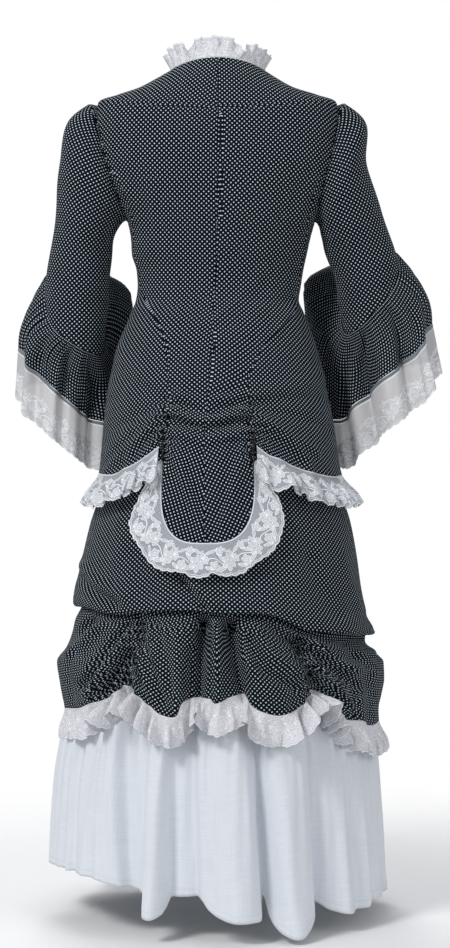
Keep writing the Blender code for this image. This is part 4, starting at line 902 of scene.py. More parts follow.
def worn_jacket(turn, level):
    """The jacket with its smaller creases and the tucks along the two gathered lines."""
    points = jacket(turn, level)
    out = crease_height(JACKET_MARKS, points)
    out = out + crease_height(TAIL_MARKS, points) * ease((level - TAIL_LEVEL) / EDGE_SOFT)
    window = ease((level - GATHER_FROM) / EDGE_SOFT) * ease((GATHER_TO - level) / EDGE_SOFT)
    for line, seed in ((GATHER_LEFT, 3), (GATHER_RIGHT, 4)):
        out = out + window * ruched(np.radians(turn - line) * GATHER_RADIUS, level, *GATHER_TUCKS, seed)
    return push_out(points, out)


def overskirt(turn, level):
    points = section_point(OVERSKIRT, turn, level)
    reach = read(OVERHANG, HEM, apart(turn, 0), "drop") - OVERHANG_LEVEL
    points[..., 2] -= reach * ease((level - POUF_LEVEL) / (OVERHANG_LEVEL - POUF_LEVEL))
    turned_under = ease((level - OVERHANG_LEVEL) / FOLDS_FADE)
    return push_out(points, fold_height(OVERSKIRT_FOLDS, turn, level) * (1 - turned_under))


def worn_overskirt(turn, level):
    points = overskirt(turn, level)
    shown = ease((POUF_CREASED_TO - level) / EDGE_SOFT)
    return push_out(points, crease_height(OVERSKIRT_MARKS, points) * shown)


def overskirt_lower(turn, level):
    points = section_point(OVERSKIRT_LOWER, turn, level)
    reach = read(OVERHANG, HEM, apart(turn, 0), "drop") - OVERHANG_LEVEL
    points[..., 2] -= reach * (1 - ease((level - LOWER_TOP) / LOWER_SETTLES))
    below_lip = ease((level - LOWER_LIP) / FOLDS_FADE)
    return push_out(points, fold_height(OVERSKIRT_LOWER_FOLDS, turn, level) * below_lip)


def worn_lower(turn, level):
    points = overskirt_lower(turn, level)
    out = crease_height(LOWER_MARKS, points)
    for (above, below), seed in ((RUCHE_LEFT, 5), (RUCHE_RIGHT, 6)):
        line = above + (below - above) * np.clip((level - RUCHE_FROM) / RUCHE_RUN, 0, 1)
        out = out + ruched(np.radians(apart(turn, line)) * RUCHE_RADIUS, level, *RUCHE_TUCKS, seed)
    return push_out(points, out * ease((level - LOWER_LIP - 0.008) / EDGE_SOFT))


def underskirt(turn, level):
    return section_point(UNDERSKIRT, turn, level)


def underskirt_flounce(turn, level):
    points = section_point(UNDERSKIRT_FLOUNCE, turn, level)
    return push_out(points, fold_height(UNDERSKIRT_FOLDS, turn, level))


def worn_flounce(turn, level):
    """The flounce with the small gathers at its seam and the softer runs that they throw down the cloth."""
    around = np.radians(apart(turn, 0)) * FLOUNCE_RADIUS
    below = level - UNDERSKIRT_FLOUNCE[0][0]
    high, pitch, reach = SEAM_GATHERS
    out = high * ruched(0 * around, around, pitch, 1.0, 1.0, 7)
    out = out * np.exp(-below / reach) * ease(below / 0.012)
    for (high, wide, long), starts, seed in ((LONG_WAVES, 0.07, 8), (SHORT_WAVES, 0.06, 9)):
        out = out + high * drift(around / wide, below / long, seed) * ease(below / starts)
    down = np.clip(below / FLOUNCE_FALL, 0, 1)
    for above, at_hem, high_above, high_hem in FLOUNCE_EDGES:
        away = apart(turn, above + (at_hem - above) * down)
        step = np.tanh(away / EDGE_TURNS) * np.exp(-np.abs(away) / EDGE_FADES)
        out = out + (high_above + (high_hem - high_above) * down) * step * ease(below / 0.03)
    out = out + fold_height(FLOUNCE_PLEATS, turn, level) * ease((HEM_LEVEL - level) / 0.05 + 0.4)
    return push_out(underskirt_flounce(turn, level), out)


# %% [markdown]
# ### Sleeves and cuffs
# A sleeve's form is a smooth tube through the armhole and the rings of a table. The flounce's form
# starts at the sleeve's slanted end and swells to an oval hem, and ribbon and lace go on from there, so
# all three meet.

# %% Armholes and sleeves
# The flounce puffs out fastest towards the body. Each flounce has its own deep valleys: angle, half
# width, height
PUFF_ANGLE = 228.0
PUFF_RISE = 0.012
PUFF_OUT = {1: 0.034, -1: 0.056}
PUFF_HALF = 42
PUFF_FULL = 9.0
PUFF_PEAK = 0.012
TUCK_PITCH = 0.017
VALLEYS_LEFT = (
    (97, 5.0, -0.019), (133, 5.5, -0.017), (114, 7.0, 0.008), (62, 6.0, -0.009), (150, 6, 0.006),
)
VALLEYS_RIGHT = (
    (122, 5.5, -0.018), (77, 5.0, -0.013), (100, 7.0, 0.006), (142, 6.0, -0.010), (54, 6.0, -0.007),
)


def armhole_point(side, angle, shrink=0.0):
    """A point on an armhole; the angle goes from the shoulder over the back and under the arm."""
    half = ARMHOLE_HALF - shrink
    spread = ARMHOLE_SPREAD * half / ARMHOLE_HALF
    level = ARMHOLE_MIDDLE - half * np.cos(np.radians(angle))
    turn = 90.0 - spread * np.sin(np.radians(angle))
    return jacket(side * turn, level)


def armhole_turn(level):
    """How far the armhole opens before and behind the side at a level."""
    return ARMHOLE_SPREAD * np.sqrt(np.clip(1 - ((level - ARMHOLE_MIDDLE) / ARMHOLE_HALF) ** 2, 0, 1))


def pick(stack, index):
    """From a stack of grids, the one that index names at each of its points."""
    return np.take_along_axis(stack, index[None, ..., None], 0)[0]


def sleeve_form(side, arm):
    """The sleeve's outer face: rings from the armhole down the arm. The angle is 0 outside and 90 behind."""
    levels = np.array([ARM_TOP_LEVEL] + [row[0] for row in arm])

    def ring(row, angle):
        level, out, y, tilt, across, deep = row
        lean = math.radians(tilt)
        cosine, sine = np.cos(np.radians(angle)), np.sin(np.radians(angle))
        x = out + across * cosine * math.sin(lean)
        z = -level + across * cosine * math.cos(lean)
        return np.stack([side * x, y + deep * sine, z], axis=-1)

    def form(angle, level):
        angle, level = np.broadcast_arrays(np.asarray(angle, dtype=float), np.asarray(level, dtype=float))
        rings = [armhole_point(side, angle, 2 * SEAM)] + [ring(row, angle) for row in arm]
        stack = np.stack(rings)
        slopes = np.diff(stack, axis=0) / np.diff(levels).reshape([-1] + [1] * (stack.ndim - 1))
        tangents = np.concatenate([slopes[:1], (slopes[:-1] + slopes[1:]) / 2, slopes[-1:]])
        i = np.clip(np.searchsorted(levels, level) - 1, 0, len(levels) - 2)
        step = np.diff(levels)[i]
        t = np.clip((level - levels[i]) / step, 0, 1)[..., None]
        here, after = pick(stack, i), pick(stack, i + 1)
        leave, arrive = pick(tangents, i), pick(tangents, i + 1)
        blend = t * t * (3 - 2 * t)
        bend = step[..., None] * t * (1 - t) * ((1 - t) * leave - t * arrive)
        return here + blend * (after - here) + bend

    return form


def round_arm(ends, angle, name):
    return read(ends, SLEEVE_END, angle % 360.0, name)


def flounce_form(side, arm, ends, hem, valleys, trim, gathers):
    """The flounce, band and cuff lace in one: down goes from 0 at the sleeve's end to 1 at the flounce's
    hem, and further by 1 for each metre of band and lace. valleys are its own deep folds, trim is the
    height of the lace's waves and gathers that of the small folds at the seam."""
    out, y, long, short, lean, sway = hem
    sleeve = sleeve_form(side, arm)

    def form(angle, down):
        angle, down = np.broadcast_arrays(np.asarray(angle, dtype=float), np.asarray(down, dtype=float))
        end = round_arm(ends, angle, "end")
        fall = round_arm(ends, angle, "hem") - end
        top = sleeve(angle, end)
        c, s = np.cos(np.radians(angle - lean)), np.sin(np.radians(angle - lean))
        ux, uy = math.cos(math.radians(lean)), math.sin(math.radians(lean))
        past = np.clip(down - 1, 0, None)
        distance = fall * np.minimum(down, 1) + past
        folds = sum(high * bell(apart(angle, at) / half) for at, half, high in FLOUNCE_FOLDS)
        folds = folds * ease(down)
        for at, half, high in valleys:
            folds = folds + high * bell(apart(angle, at + 4 * drift(down, 0, 13)) / half) * ease(down / 0.15)
        around = np.radians(apart(angle, 0)) * long
        uneven = 0.6 + 0.5 * drift(around / 0.06, 0.1, 14)
        tucks = gathers * uneven * ruched(0 * around, around, TUCK_PITCH, 1.0, 1.0, 11)
        fades = 0.040 + 0.02 * drift(around / 0.03, 0.4, 15)
        tucks = tucks * np.exp(-distance / fades) * ease(distance / 0.006)
        grow = folds + tucks + trim * ease(past / CUFF_LACE) * lace_wave(around, 0.033, 12) + 0.04 * past
        x = out + sway * past + (long + grow) * c * ux - (short + grow) * s * uy
        depth = y + (long + grow) * c * uy + (short + grow) * s * ux
        puff = bell(apart(angle, PUFF_ANGLE) / PUFF_HALF)
        swell = 1 - (1 - np.clip(down, 0, 1)) ** (FLOUNCE_FULL + PUFF_FULL * puff)
        points = np.stack([side * x, depth, top[..., 2] - distance], axis=-1)
        points[..., 0] = top[..., 0] + (points[..., 0] - top[..., 0]) * swell
        points[..., 1] = top[..., 1] + (points[..., 1] - top[..., 1]) * swell
        gathered = side * tucks * (1 - swell)
        points[..., 0] += gathered * np.cos(np.radians(angle))
        points[..., 1] += np.abs(gathered) * np.sign(tucks) * np.sin(np.radians(angle))
        points[..., 2] += PUFF_RISE * puff * distance / PUFF_PEAK * np.exp(1 - distance / PUFF_PEAK)
        points[..., 0] -= side * PUFF_OUT[side] * puff * ease(distance / 0.024) * np.exp(-distance / 0.07)
        return points

    return form


def lace_wave(along, pitch, seed):
    """Uneven pleats of a gathered lace, from -1 to 1: each rises slowly and falls back fast."""
    rise = pleat_turn(along, pitch, seed)
    uneven = 0.75 + 0.25 * drift(along / (3 * pitch), 0.7, seed + 1)
    return (np.sin(rise) + 0.32 * np.sin(2 * rise)) / 1.1 * uneven


def pleat_turn(along, pitch, seed):
    """How far round its pleats a gathered edge is, in radians, at a length along it."""
    return 2 * np.pi * (along / pitch + 0.35 * drift(along / (4 * pitch), 0.3, seed))


def pleats(along, pitch, high, over, seed):
    """A gathered edge as (out, sideways): broad crests whose flanks lean over the narrow valleys."""
    rise = pleat_turn(along, pitch, seed)
    uneven = 0.75 + 0.35 * drift(along / (3 * pitch), 0.7, seed + 1)
    lean = over * (0.7 + 0.5 * drift(along / (2 * pitch), 0.2, seed + 2))
    return high * uneven * np.sin(rise), -lean * np.sin(2 * rise) + 0.6 * lean * np.cos(rise)

# %% [markdown]
# ## Finishes
# Each finish is a small node tree on the flat cut, so dots, threads and lace follow the cloth and stretch
# with nothing. Sums and products of a socket are written as plain Python, and every other node comes from
# one method.

# %% Sockets and trees
class Number:
    """A number that changes over a surface; arithmetic on it adds Math nodes."""

    def __init__(self, tree, socket):
        self.tree, self.socket = tree, socket

    def math(self, operation, *others):
        return self.tree.value("ShaderNodeMath", {"operation": operation}, dict(enumerate((self, *others))))

    def turned(self, operation, first):
        return self.tree.value("ShaderNodeMath", {"operation": operation}, {0: first, 1: self})

    def __add__(self, other):
        return self.math("ADD", other)

    def __mul__(self, other):
        return self.math("MULTIPLY", other)

    __radd__, __rmul__ = __add__, __mul__

    def __sub__(self, other):
        return self.math("SUBTRACT", other)

    def __rsub__(self, other):
        return self.turned("SUBTRACT", other)

    def __truediv__(self, other):
        return self.math("DIVIDE", other)

    def __neg__(self):
        return self.math("MULTIPLY", -1.0)

    def __abs__(self):
        return self.math("ABSOLUTE")

    def part(self):
        return self.math("FRACT")

    def sine(self):
        return self.math("SINE")

    def root(self):
        return self.math("SQRT")

    def most(self, other):
        return self.math("MAXIMUM", other)

    def least(self, other):
        return self.math("MINIMUM", other)

    def step(self, low, high):
        """0 below low and 1 above high, smooth between."""
        return self.tree.value("ShaderNodeMapRange", {"interpolation_type": "SMOOTHSTEP"},
                               {"Value": self, "From Min": low, "From Max": high})


class Finish:
    """A material with its tree and its Principled surface."""

    def __init__(self, name, roughness, **fixed):
        self.material = bpy.data.materials.new(name)
        self.material.use_nodes = True
        self.nodes = self.material.node_tree.nodes
        self.surface = self.nodes["Principled BSDF"]
        self.surface.inputs["Roughness"].default_value = roughness
        for socket, constant in fixed.items():
            self.surface.inputs[socket.replace("_", " ")].default_value = constant

    def add(self, kind, settings=None, sockets=None):
        """A node of a type, with its settings made first and then its sockets set or linked."""
        node = self.nodes.new(kind)
        for name, setting in (settings or {}).items():
            setattr(node, name, setting)
        for key, given in (sockets or {}).items():
            self.feed(node.inputs[key], given)
        return node

    def feed(self, socket, given):
        if isinstance(given, Number):
            given = given.socket
        if isinstance(given, bpy.types.NodeSocket):
            self.material.node_tree.links.new(given, socket)
        else:
            socket.default_value = given

    def value(self, kind, settings=None, sockets=None, output=0):
        return Number(self, self.add(kind, settings, sockets).outputs[output])

    def cut(self):
        """The two flat coordinates, in metres."""
        place = self.add("ShaderNodeUVMap", {"uv_map": "cut"})
        parts = self.add("ShaderNodeSeparateXYZ", None, {0: place.outputs[0]})
        return Number(self, parts.outputs[0]), Number(self, parts.outputs[1])

    def noise(self, u, v, along, across, detail=2.0):
        """Smooth noise on the flat cut, with so many lumps to the metre each way."""
        place = self.add("ShaderNodeCombineXYZ", None, {0: u * along, 1: v * across})
        return self.value("ShaderNodeTexNoise", {"noise_dimensions": "2D"},
                          {"Vector": place.outputs[0], "Scale": 1.0, "Detail": detail}, "Fac")

    def mix(self, share, first, second):
        """Two colours blended by a number."""
        node = self.add("ShaderNodeMix", {"data_type": "RGBA"}, {"Factor": share})
        self.feed(node.inputs[6], first)
        self.feed(node.inputs[7], second)
        return node.outputs[2]

    def bump(self, height, distance):
        node = self.add("ShaderNodeBump", None, {"Height": height, "Distance": distance, "Strength": 1.0})
        self.feed(self.surface.inputs["Normal"], node.outputs[0])

    def colour(self, given):
        self.feed(self.surface.inputs["Base Color"], given)


def tint(red, green, blue):
    return (red, green, blue, 1.0)


# %% [markdown]
# ### Pin-dot cloth
# The black cloth has a faint blue cast and small pale dots, printed on a square grid of 5.5 mm. On the
# bodice and the overskirt the grid stands on its corner, and on the sleeve flounces it stands upright. A
# dot is a soft disc round the middle of its cell. Under it lies a fine plain weave, as a bump and as a
# slight change of colour.

# %% Pin-dot cloth
DOT_PITCH = 0.0055
DOT_RADIUS = 0.00103
DOT_BLUR = 0.00030
THREAD = 0.00042
INK_BLACK = tint(0.0022, 0.0038, 0.0070)
WORN_BLACK = tint(0.0056, 0.0086, 0.0145)
DOT_WHITE = tint(0.66, 0.75, 0.81)


def weave(finish, u, v, thread):
    """The over and under of a plain weave, from 0 to 1."""
    step = 2 * math.pi / thread
    return (u * step).sine() * (v * step).sine() * 0.5 + 0.5


def dotted(name, upright, dots=1.0):
    finish = Finish(name, 0.85, Specular_IOR_Level=0.06)
    u, v = finish.cut()
    if upright:
        first, second = u / DOT_PITCH, v / DOT_PITCH
    else:
        diagonal = DOT_PITCH * math.sqrt(2)
        first, second = (u + v) / diagonal, (u - v) / diagonal
    a, b = first.part() - 0.5, second.part() - 0.5
    middle = (a * a + b * b).root() * DOT_PITCH
    dot = (1 - middle.step(DOT_RADIUS - DOT_BLUR, DOT_RADIUS + DOT_BLUR)) * dots
    fibre = finish.noise(u, v, 900, 900)
    cloudy = finish.noise(u, v, 14, 14)
    ground = finish.mix(fibre * 0.5 + cloudy * 0.5, INK_BLACK, WORN_BLACK)
    finish.colour(finish.mix(dot, ground, DOT_WHITE))
    threads = weave(finish, u, v, THREAD)
    soft = finish.noise(u, v, 55, 38, 3.0)
    finish.bump(threads * 0.05 + soft * 0.8 + dot * 0.06, 0.0009)
    return finish.material


DOTTED = dotted("pin_dot_cloth", False)
DOTTED_UPRIGHT = dotted("pin_dot_cloth_upright", True)
WRONG_SIDE = dotted("pin_dot_wrong_side", False, 0.16)

# %% [markdown]
# ### White cotton
# The underskirt is a light cotton lawn: cool white, with slubs in both directions where a thread is
# thicker, and small crumples left by washing. Slubs are noise drawn out long along the threads.

# %% White cotton
COTTON_LIGHT = tint(0.775, 0.805, 0.85)
COTTON_SHADE = tint(0.715, 0.745, 0.79)


def cotton(name):
    finish = Finish(name, 0.9, Specular_IOR_Level=0.1)
    u, v = finish.cut()
    slub = finish.noise(u, v, 620, 16) * 0.5 + finish.noise(u, v, 16, 620) * 0.5
    finish.colour(finish.mix(slub.step(0.38, 0.72), COTTON_LIGHT, COTTON_SHADE))
    crumple = finish.noise(u, v, 26, 11, 3.0)
    finish.bump(slub * 0.12 + crumple * 0.9 + weave(finish, u, v, 0.0005) * 0.05, 0.0011)
    return finish.material


COTTON = cotton("white_cotton_lawn")

# %% [markdown]
# ### Lace
# The same machine lace edges collar, cuffs, peplum and overskirt: a fine net that lets the cloth behind
# show, a running garland of flowers and leaves worked in thicker thread, and a scalloped edge with a
# cord. The garland is a plain design of this file's own, built from circles, petals and a waving stem in
# one repeat. Alpha is the share of a patch that is thread.

# %% Lace
LACE_REPEAT = 0.062
SCALLOP = 0.0155
SCALLOP_DEEP = 0.0022
STEM_WAVE = 0.0052
BEAD_PITCH = 0.0031
NET = 0.0019
# The garland's middle lies this far above the lace's edge, and a wide lace has a smaller one above it
GARLAND_RISE = 0.017
UPPER_RISE = 0.021
WIDE_LACE = 0.045
# Flowers: share of the repeat, metres below the garland's middle, radius and petals. Leaves: the same
# two, then half length, half width and lean in degrees
FLOWERS = ((0.22, -0.006, 0.0135, 6), (0.66, 0.002, 0.0088, 5), (0.92, -0.010, 0.0060, 5))
LEAVES = (
    (0.44, 0.004, 0.0105, 0.0042, 24), (0.47, -0.013, 0.0100, 0.0040, -38),
    (0.83, 0.005, 0.0085, 0.0034, -30), (0.03, -0.013, 0.0080, 0.0034, 42),
)
UPPER_FLOWERS = ((0.52, -0.003, 0.0078, 5), (0.05, 0.001, 0.0056, 5))
UPPER_LEAVES = ((0.28, -0.004, 0.0090, 0.0034, -18), (0.77, -0.002, 0.0092, 0.0036, 20))
LACE_WHITE = tint(0.97, 0.98, 1.0)
NET_WHITE = tint(0.74, 0.79, 0.87)
NET_LILAC = tint(0.92, 0.90, 0.97)
# The cuff lace's net colour is painted shade: a darker grey for the shadow inside the cuff's two layers
NET_PAINTED_SHADE = tint(0.62, 0.61, 0.62)


def from_motif(u, v, place):
    """How far a point is from the nearest motif, along the strip and down it."""
    du = (u / LACE_REPEAT - place[0]).part()
    return (du - du.step(0.4999, 0.5001)) * LACE_REPEAT, v - place[1]


def flower(finish, u, v, place, radius, petals):
    """A flower in the repeat: (filled, outline) as shares of thread."""
    du, dv = from_motif(u, v, place)
    away = (du * du + dv * dv).root()
    angle = finish.value("ShaderNodeMath", {"operation": "ARCTAN2"}, {0: dv, 1: du})
    rim = abs((angle * (petals / 2)).sine()) * (0.34 * radius) + 0.66 * radius
    gap = abs(away - rim)
    line = 1 - gap.step(0.0006, 0.0013)
    filled = 1 - (away - rim).step(-0.0004, 0.0004)
    heart = 1 - abs(away - 0.26 * radius).step(0.0005, 0.0011)
    ribs = (1 - abs((angle * (petals / 2)).sine()).step(0.10, 0.24)) * filled
    return filled, line.most(heart).most(ribs * 0.7)


def leaf(finish, u, v, place, long, wide, lean):
    """A pointed leaf with a vein."""
    du, dv = from_motif(u, v, place)
    c, s = math.cos(math.radians(lean)), math.sin(math.radians(lean))
    along, across = (du * c + dv * s) / long, (dv * c - du * s) / wide
    away = (along * along + across * across + abs(across) * 0.6).root()
    line = 1 - abs(away - 1.0).step(0.10, 0.24)
    filled = 1 - away.step(0.96, 1.04)
    vein = (1 - abs(across).step(0.06, 0.2)) * filled
    return filled, line.most(vein)


def motifs(finish, u, v, middle, flowers, leaves):
    """The flowers and leaves of one garland, whose middle lies so far down the lace."""
    made = [flower(finish, u, v, (along, middle + down), *sizes) for along, down, *sizes in flowers]
    return made + [leaf(finish, u, v, (along, middle + down), *sizes) for along, down, *sizes in leaves]


def lace(name, depth, net_colour, net_cover):
    """Lace of a depth. The map runs along the strip and, as minus, down from its sewn edge."""
    finish = Finish(name, 0.85, Specular_IOR_Level=0.2)
    u, down = finish.cut()
    v = -down
    net_u, net_v = u / NET, v / NET
    threads = abs(((net_u + net_v) * math.pi).sine()).least(abs(((net_u - net_v) * math.pi).sine()))
    net = net_cover - threads.step(0.12, 0.55) * 0.28
    low = depth - GARLAND_RISE
    parts = motifs(finish, u, v, low, FLOWERS, LEAVES)
    if depth > WIDE_LACE:
        parts += motifs(finish, u, v, low - UPPER_RISE, UPPER_FLOWERS, UPPER_LEAVES)
    filled, line = parts[0]
    for more_filled, more_line in parts[1:]:
        filled, line = filled.most(more_filled), line.most(more_line)
    wave = (u * (2 * math.pi / LACE_REPEAT)).sine() * STEM_WAVE
    stem = 1 - abs(v - wave - (low - 0.006)).step(0.0006, 0.0013)
    line = line.most(stem * (1 - filled))
    edge = depth - SCALLOP_DEEP + abs((u * (math.pi / SCALLOP)).sine()) * SCALLOP_DEEP
    cord = 1 - abs(v - edge + 0.0012).step(0.0007, 0.0014)
    inner_cord = 1 - abs(v - edge + 0.0046).step(0.0004, 0.0009)
    beads = 1 - abs((u * (math.pi / BEAD_PITCH)).sine()).step(0.25, 0.5)
    bead_row = 1 - abs(v - edge + 0.0029).step(0.0008, 0.0018)
    heading = 1 - v.step(0.0022, 0.0030)
    line = line.most(cord).most(inner_cord * 0.8).most(beads * bead_row).most(heading * 0.8)
    cover = net.most(filled * 0.66).most(line)
    cover = cover * (1 - (v - edge).step(0.0, 0.0006))
    finish.feed(finish.surface.inputs["Alpha"], cover)
    shade = finish.noise(u, v, 60, 60)
    finish.colour(finish.mix(line.most(filled * 0.6) * 0.8 + shade * 0.2, net_colour, LACE_WHITE))
    finish.bump(line * 1.0 + filled * 0.4, 0.0006)
    return finish.material


# %% [markdown]
# ### Ribbon, lining and the four laces
# A narrow grey ribbon covers the join of flounce and cuff lace. Bodice and sleeves are lined with plain
# black cotton. The lace is made up in the four depths that the suit has: closest on the cuffs and the
# collar, where no black cloth lies under it, and sheerest on the peplum. The cuff lace's net is painted
# a darker grey: painted shade for the shadow inside the cuff's two layers of lace.

# %% Ribbon, lining and the four laces
RIBBON_GREY = tint(0.155, 0.178, 0.205)
RIBBON_EDGE = tint(0.42, 0.45, 0.48)


def ribbon(name, width):
    finish = Finish(name, 0.6, Sheen_Weight=0.2)
    u, down = finish.cut()
    v = -down
    edge = 1 - v.least(width - v).step(0.0006, 0.0013)
    rib = (u * (2 * math.pi / 0.0011)).sine() * 0.5 + 0.5
    finish.colour(finish.mix(edge * 0.75 + rib * 0.1, RIBBON_GREY, RIBBON_EDGE))
    finish.bump(rib * 0.3 + edge, 0.0003)
    return finish.material


def lining(name, dark, light):
    finish = Finish(name, 0.75, Specular_IOR_Level=0.3)
    u, v = finish.cut()
    cloud = finish.noise(u, v, 60, 30, 3.0)
    finish.colour(finish.mix(cloud, dark, light))
    finish.bump(cloud + weave(finish, u, v, 0.0005) * 0.1, 0.0006)
    return finish.material


LINING = lining("black_lining", tint(0.010, 0.010, 0.012), tint(0.020, 0.020, 0.023))
RIBBON = ribbon("grey_ribbon", CUFF_BAND)
# Its net colour is painted shade, darker for the shadow inside the cuff's two layers of lace
CUFF_LACE_LOOK = lace("cuff_lace", CUFF_LACE, NET_PAINTED_SHADE, 0.86)
COLLAR_LOOK = lace("collar_lace", COLLAR_HEIGHT, NET_LILAC, 0.90)
PEPLUM_LOOK = lace("peplum_lace", PEPLUM_LACE, NET_WHITE, 0.48)
SKIRT_LOOK = lace("overskirt_lace", SKIRT_LACE, NET_LILAC, 0.80)

# %% [markdown]
# ## The jacket
# A fitted bodice of this kind is cut in shaped panels: two backs, two side backs and two fronts, each
# lined, and seamed with the edges turned in. Each panel is made between its two seam lines. Its rows
# follow the armhole closely, and its columns crowd towards the seams, where the cloth dips into the seam
# and puckers a little.

# %% Panels
DOTTED_WALL = 0.0012
PANEL_ROW = 0.0036
YOKE_ROW = 0.004
ARMHOLE_ROWS = 46
SEAM_DIP = 0.0009
SEAM_WIDTH = 0.0013
SEAM_COLUMNS = np.array([0.0, 0.0007, 0.0014, 0.0024, 0.0040])
ARMHOLE_DIP = 0.0016
PUCKER = 0.0002
PUCKER_PITCH = 0.0125
PUCKER_REACH = 0.006
SMOOTH_WAIST = (0.42, 0.07)


def spaced(start, end, step):
    """Even values from start to end, about a step apart."""
    return np.linspace(start, end, max(2, int(round(abs(end - start) / step)) + 1))


def panel_levels(top, hem, columns):
    """The levels of a panel's rows: even above the armhole, with its curve beside it, even to the hem."""
    turned = np.linspace(0, np.pi, ARMHOLE_ROWS)
    oval = ARMHOLE_MIDDLE - ARMHOLE_HALF * np.cos(turned)
    shared = np.concatenate([spaced(0, ARMHOLE_TOP, YOKE_ROW)[:-1], oval,
                             spaced(ARMHOLE_BOTTOM, PEPLUM_START, PANEL_ROW)[1:]])
    shared = np.concatenate([[top], shared[shared > top + 0.0008]])
    grid = np.repeat(shared[:, None], columns, axis=1)
    fall = hem - PEPLUM_START
    share = np.linspace(0, 1, max(2, int(round(fall.max() / PANEL_ROW))) + 1)[1:]
    return np.concatenate([grid, PEPLUM_START + share[:, None] * fall[None, :]])


def panel_share(width, columns):
    """Shares across a panel, row by row, with four close columns beside each seam."""
    near = np.minimum(SEAM_COLUMNS[None, :] / np.maximum(width, 1e-6)[:, None],
                      np.linspace(0, 0.2, len(SEAM_COLUMNS))[None, :])
    middle = np.linspace(0, 1, columns - 8)[1:-1]
    inner = near[:, -1:] + (1 - 2 * near[:, -1:]) * middle[None, :]
    return np.concatenate([near, inner, 1 - near[:, ::-1]], axis=1)


def jacket_panel(name, first_edge, last_edge, top, hem, columns, node, upright=None):
    """A panel between two seams, which are turns at a level, down to its hem, a level at a turn. Where
    upright names a seam's column, that seam runs straight down between two lines of dots."""
    share = np.repeat(np.linspace(0, 1, columns)[None, :], 2, axis=0)
    low = np.full((1, columns), PEPLUM_START)
    turn = first_edge(low) + (last_edge(low) - first_edge(low)) * share[:1]
    level = panel_levels(top, hem(turn[0]), columns)
    for _ in range(3):
        first, last = first_edge(level), last_edge(level)
        width = np.linalg.norm(jacket(last, level) - jacket(first, level), axis=-1).mean(axis=1)
        turn = first + (last - first) * panel_share(width, columns)
        level = panel_levels(top, hem(turn[-1]), columns)
    first, last = first_edge(level), last_edge(level)
    points = worn_jacket(turn, level)
    dip = np.zeros(turn.shape)
    for edge in (first, last):
        away = np.linalg.norm(points - jacket(edge, level), axis=-1)
        dip -= SEAM_DIP * bell(away / SEAM_WIDTH)
        pucker = np.sin(level * (2 * np.pi / PUCKER_PITCH) + 2 * drift(level / 0.08, 0, 21))
        pucker *= np.exp(-away / PUCKER_REACH) * (1 - bell((level - SMOOTH_WAIST[0]) / SMOOTH_WAIST[1]))
        dip += PUCKER * pucker * (level < PEPLUM_START)
    armhole = np.hypot(apart(np.abs(turn), 90) / ARMHOLE_SPREAD, (level - ARMHOLE_MIDDLE) / ARMHOLE_HALF)
    dip -= SEAM_DIP * bell((armhole - 1) * ARMHOLE_HALF / ARMHOLE_DIP)
    points = push_out(points, dip)
    middle = columns // 2
    down = column_lengths(points)[:, middle:middle + 1]
    guess = np.stack([row_lengths(points, middle), -down + 0 * turn], axis=-1)
    cut = panel_cut(points, guess, middle if upright is None else upright)
    if upright is not None:
        cut[..., 0] += DOT_PITCH / (2 * math.sqrt(2)) - cut[len(cut) // 4, upright, 0]
    piece = shell(name, points, cut, False, 1, DOTTED_WALL, DOTTED, LINING)
    dress(piece, [node], cut_size(cut))


def seam(rows):
    return lambda level: read(rows, SEAM_LINE, level, "turn")


def side_back_start(rows):
    """The level at which a side-back seam leaves the armhole."""
    levels = np.linspace(0.165, 0.215, 101)
    gap = np.abs(read(rows, SEAM_LINE, levels, "turn")) - (90.0 - armhole_turn(levels))
    return float(levels[np.argmin(np.abs(gap))])


# %% Backs
def tail_hem(turn):
    from_middle = np.clip(np.abs(turn - TAIL_CENTRE) / TAIL_HALF, 0, 1)
    return TAIL_APEX + (TAIL_BOTTOM - TAIL_APEX) * (1 - from_middle ** TAIL_CORNER) ** (1 / TAIL_ROUND)


centre_back = seam(CENTRE_BACK)
for name, side, line in (("left", 1, SIDE_BACK_LEFT), ("right", -1, SIDE_BACK_RIGHT)):
    def outer_edge(level, side=side, line=line):
        above = side * (90.0 - armhole_turn(level))
        return np.where(level < side_back_start(line), above, seam(line)(level))
    edges = (centre_back, outer_edge) if side > 0 else (outer_edge, centre_back)
    jacket_panel(f"back_{name}", *edges, 0.0, tail_hem, 58, f"jacket_back_{name}", 0 if side > 0 else -1)

# %% Side backs
for name, side, line, scallop in (("left", 1, SIDE_BACK_LEFT, SIDE_SCALLOP_LEFT),
                                  ("right", -1, SIDE_BACK_RIGHT, SIDE_SCALLOP_RIGHT)):
    def side_edge(level, side=side):
        return side * (90.0 - armhole_turn(level))

    def scallop_hem(turn, scallop=scallop):
        return read(scallop, HEM, np.abs(turn), "drop")
    edges = (seam(line), side_edge) if side > 0 else (side_edge, seam(line))
    jacket_panel(f"side_back_{name}", *edges, side_back_start(line) + 0.0005, scallop_hem, 48,
                 f"jacket_side_back_{name}")

# %% Fronts
for name, side, scallop in (("left", 1, SIDE_SCALLOP_LEFT), ("right", -1, SIDE_SCALLOP_RIGHT)):
    def side_edge(level, side=side):
        return side * (90.0 + armhole_turn(level))

    def middle(level, side=side):
        return side * 180.0 + 0 * level

    def front_hem(turn, scallop=scallop):
        return read(scallop, HEM, np.abs(turn), "drop")
    edges = (side_edge, middle) if side > 0 else (middle, side_edge)
    jacket_panel(f"front_{name}", *edges, 0.0, front_hem, 56, f"jacket_front_{name}")

# %% [markdown]
# ## Sleeves, flounces and cuffs
# A coat sleeve is set into the armhole and ends in a long slant. A gathered flounce hangs from the slant,
# a narrow grey ribbon covers its lower edge and wide lace hangs below. Sleeve, flounce, ribbon and lace
# are tubes round one arm, made from one form so that they meet. Each is open at both ends.

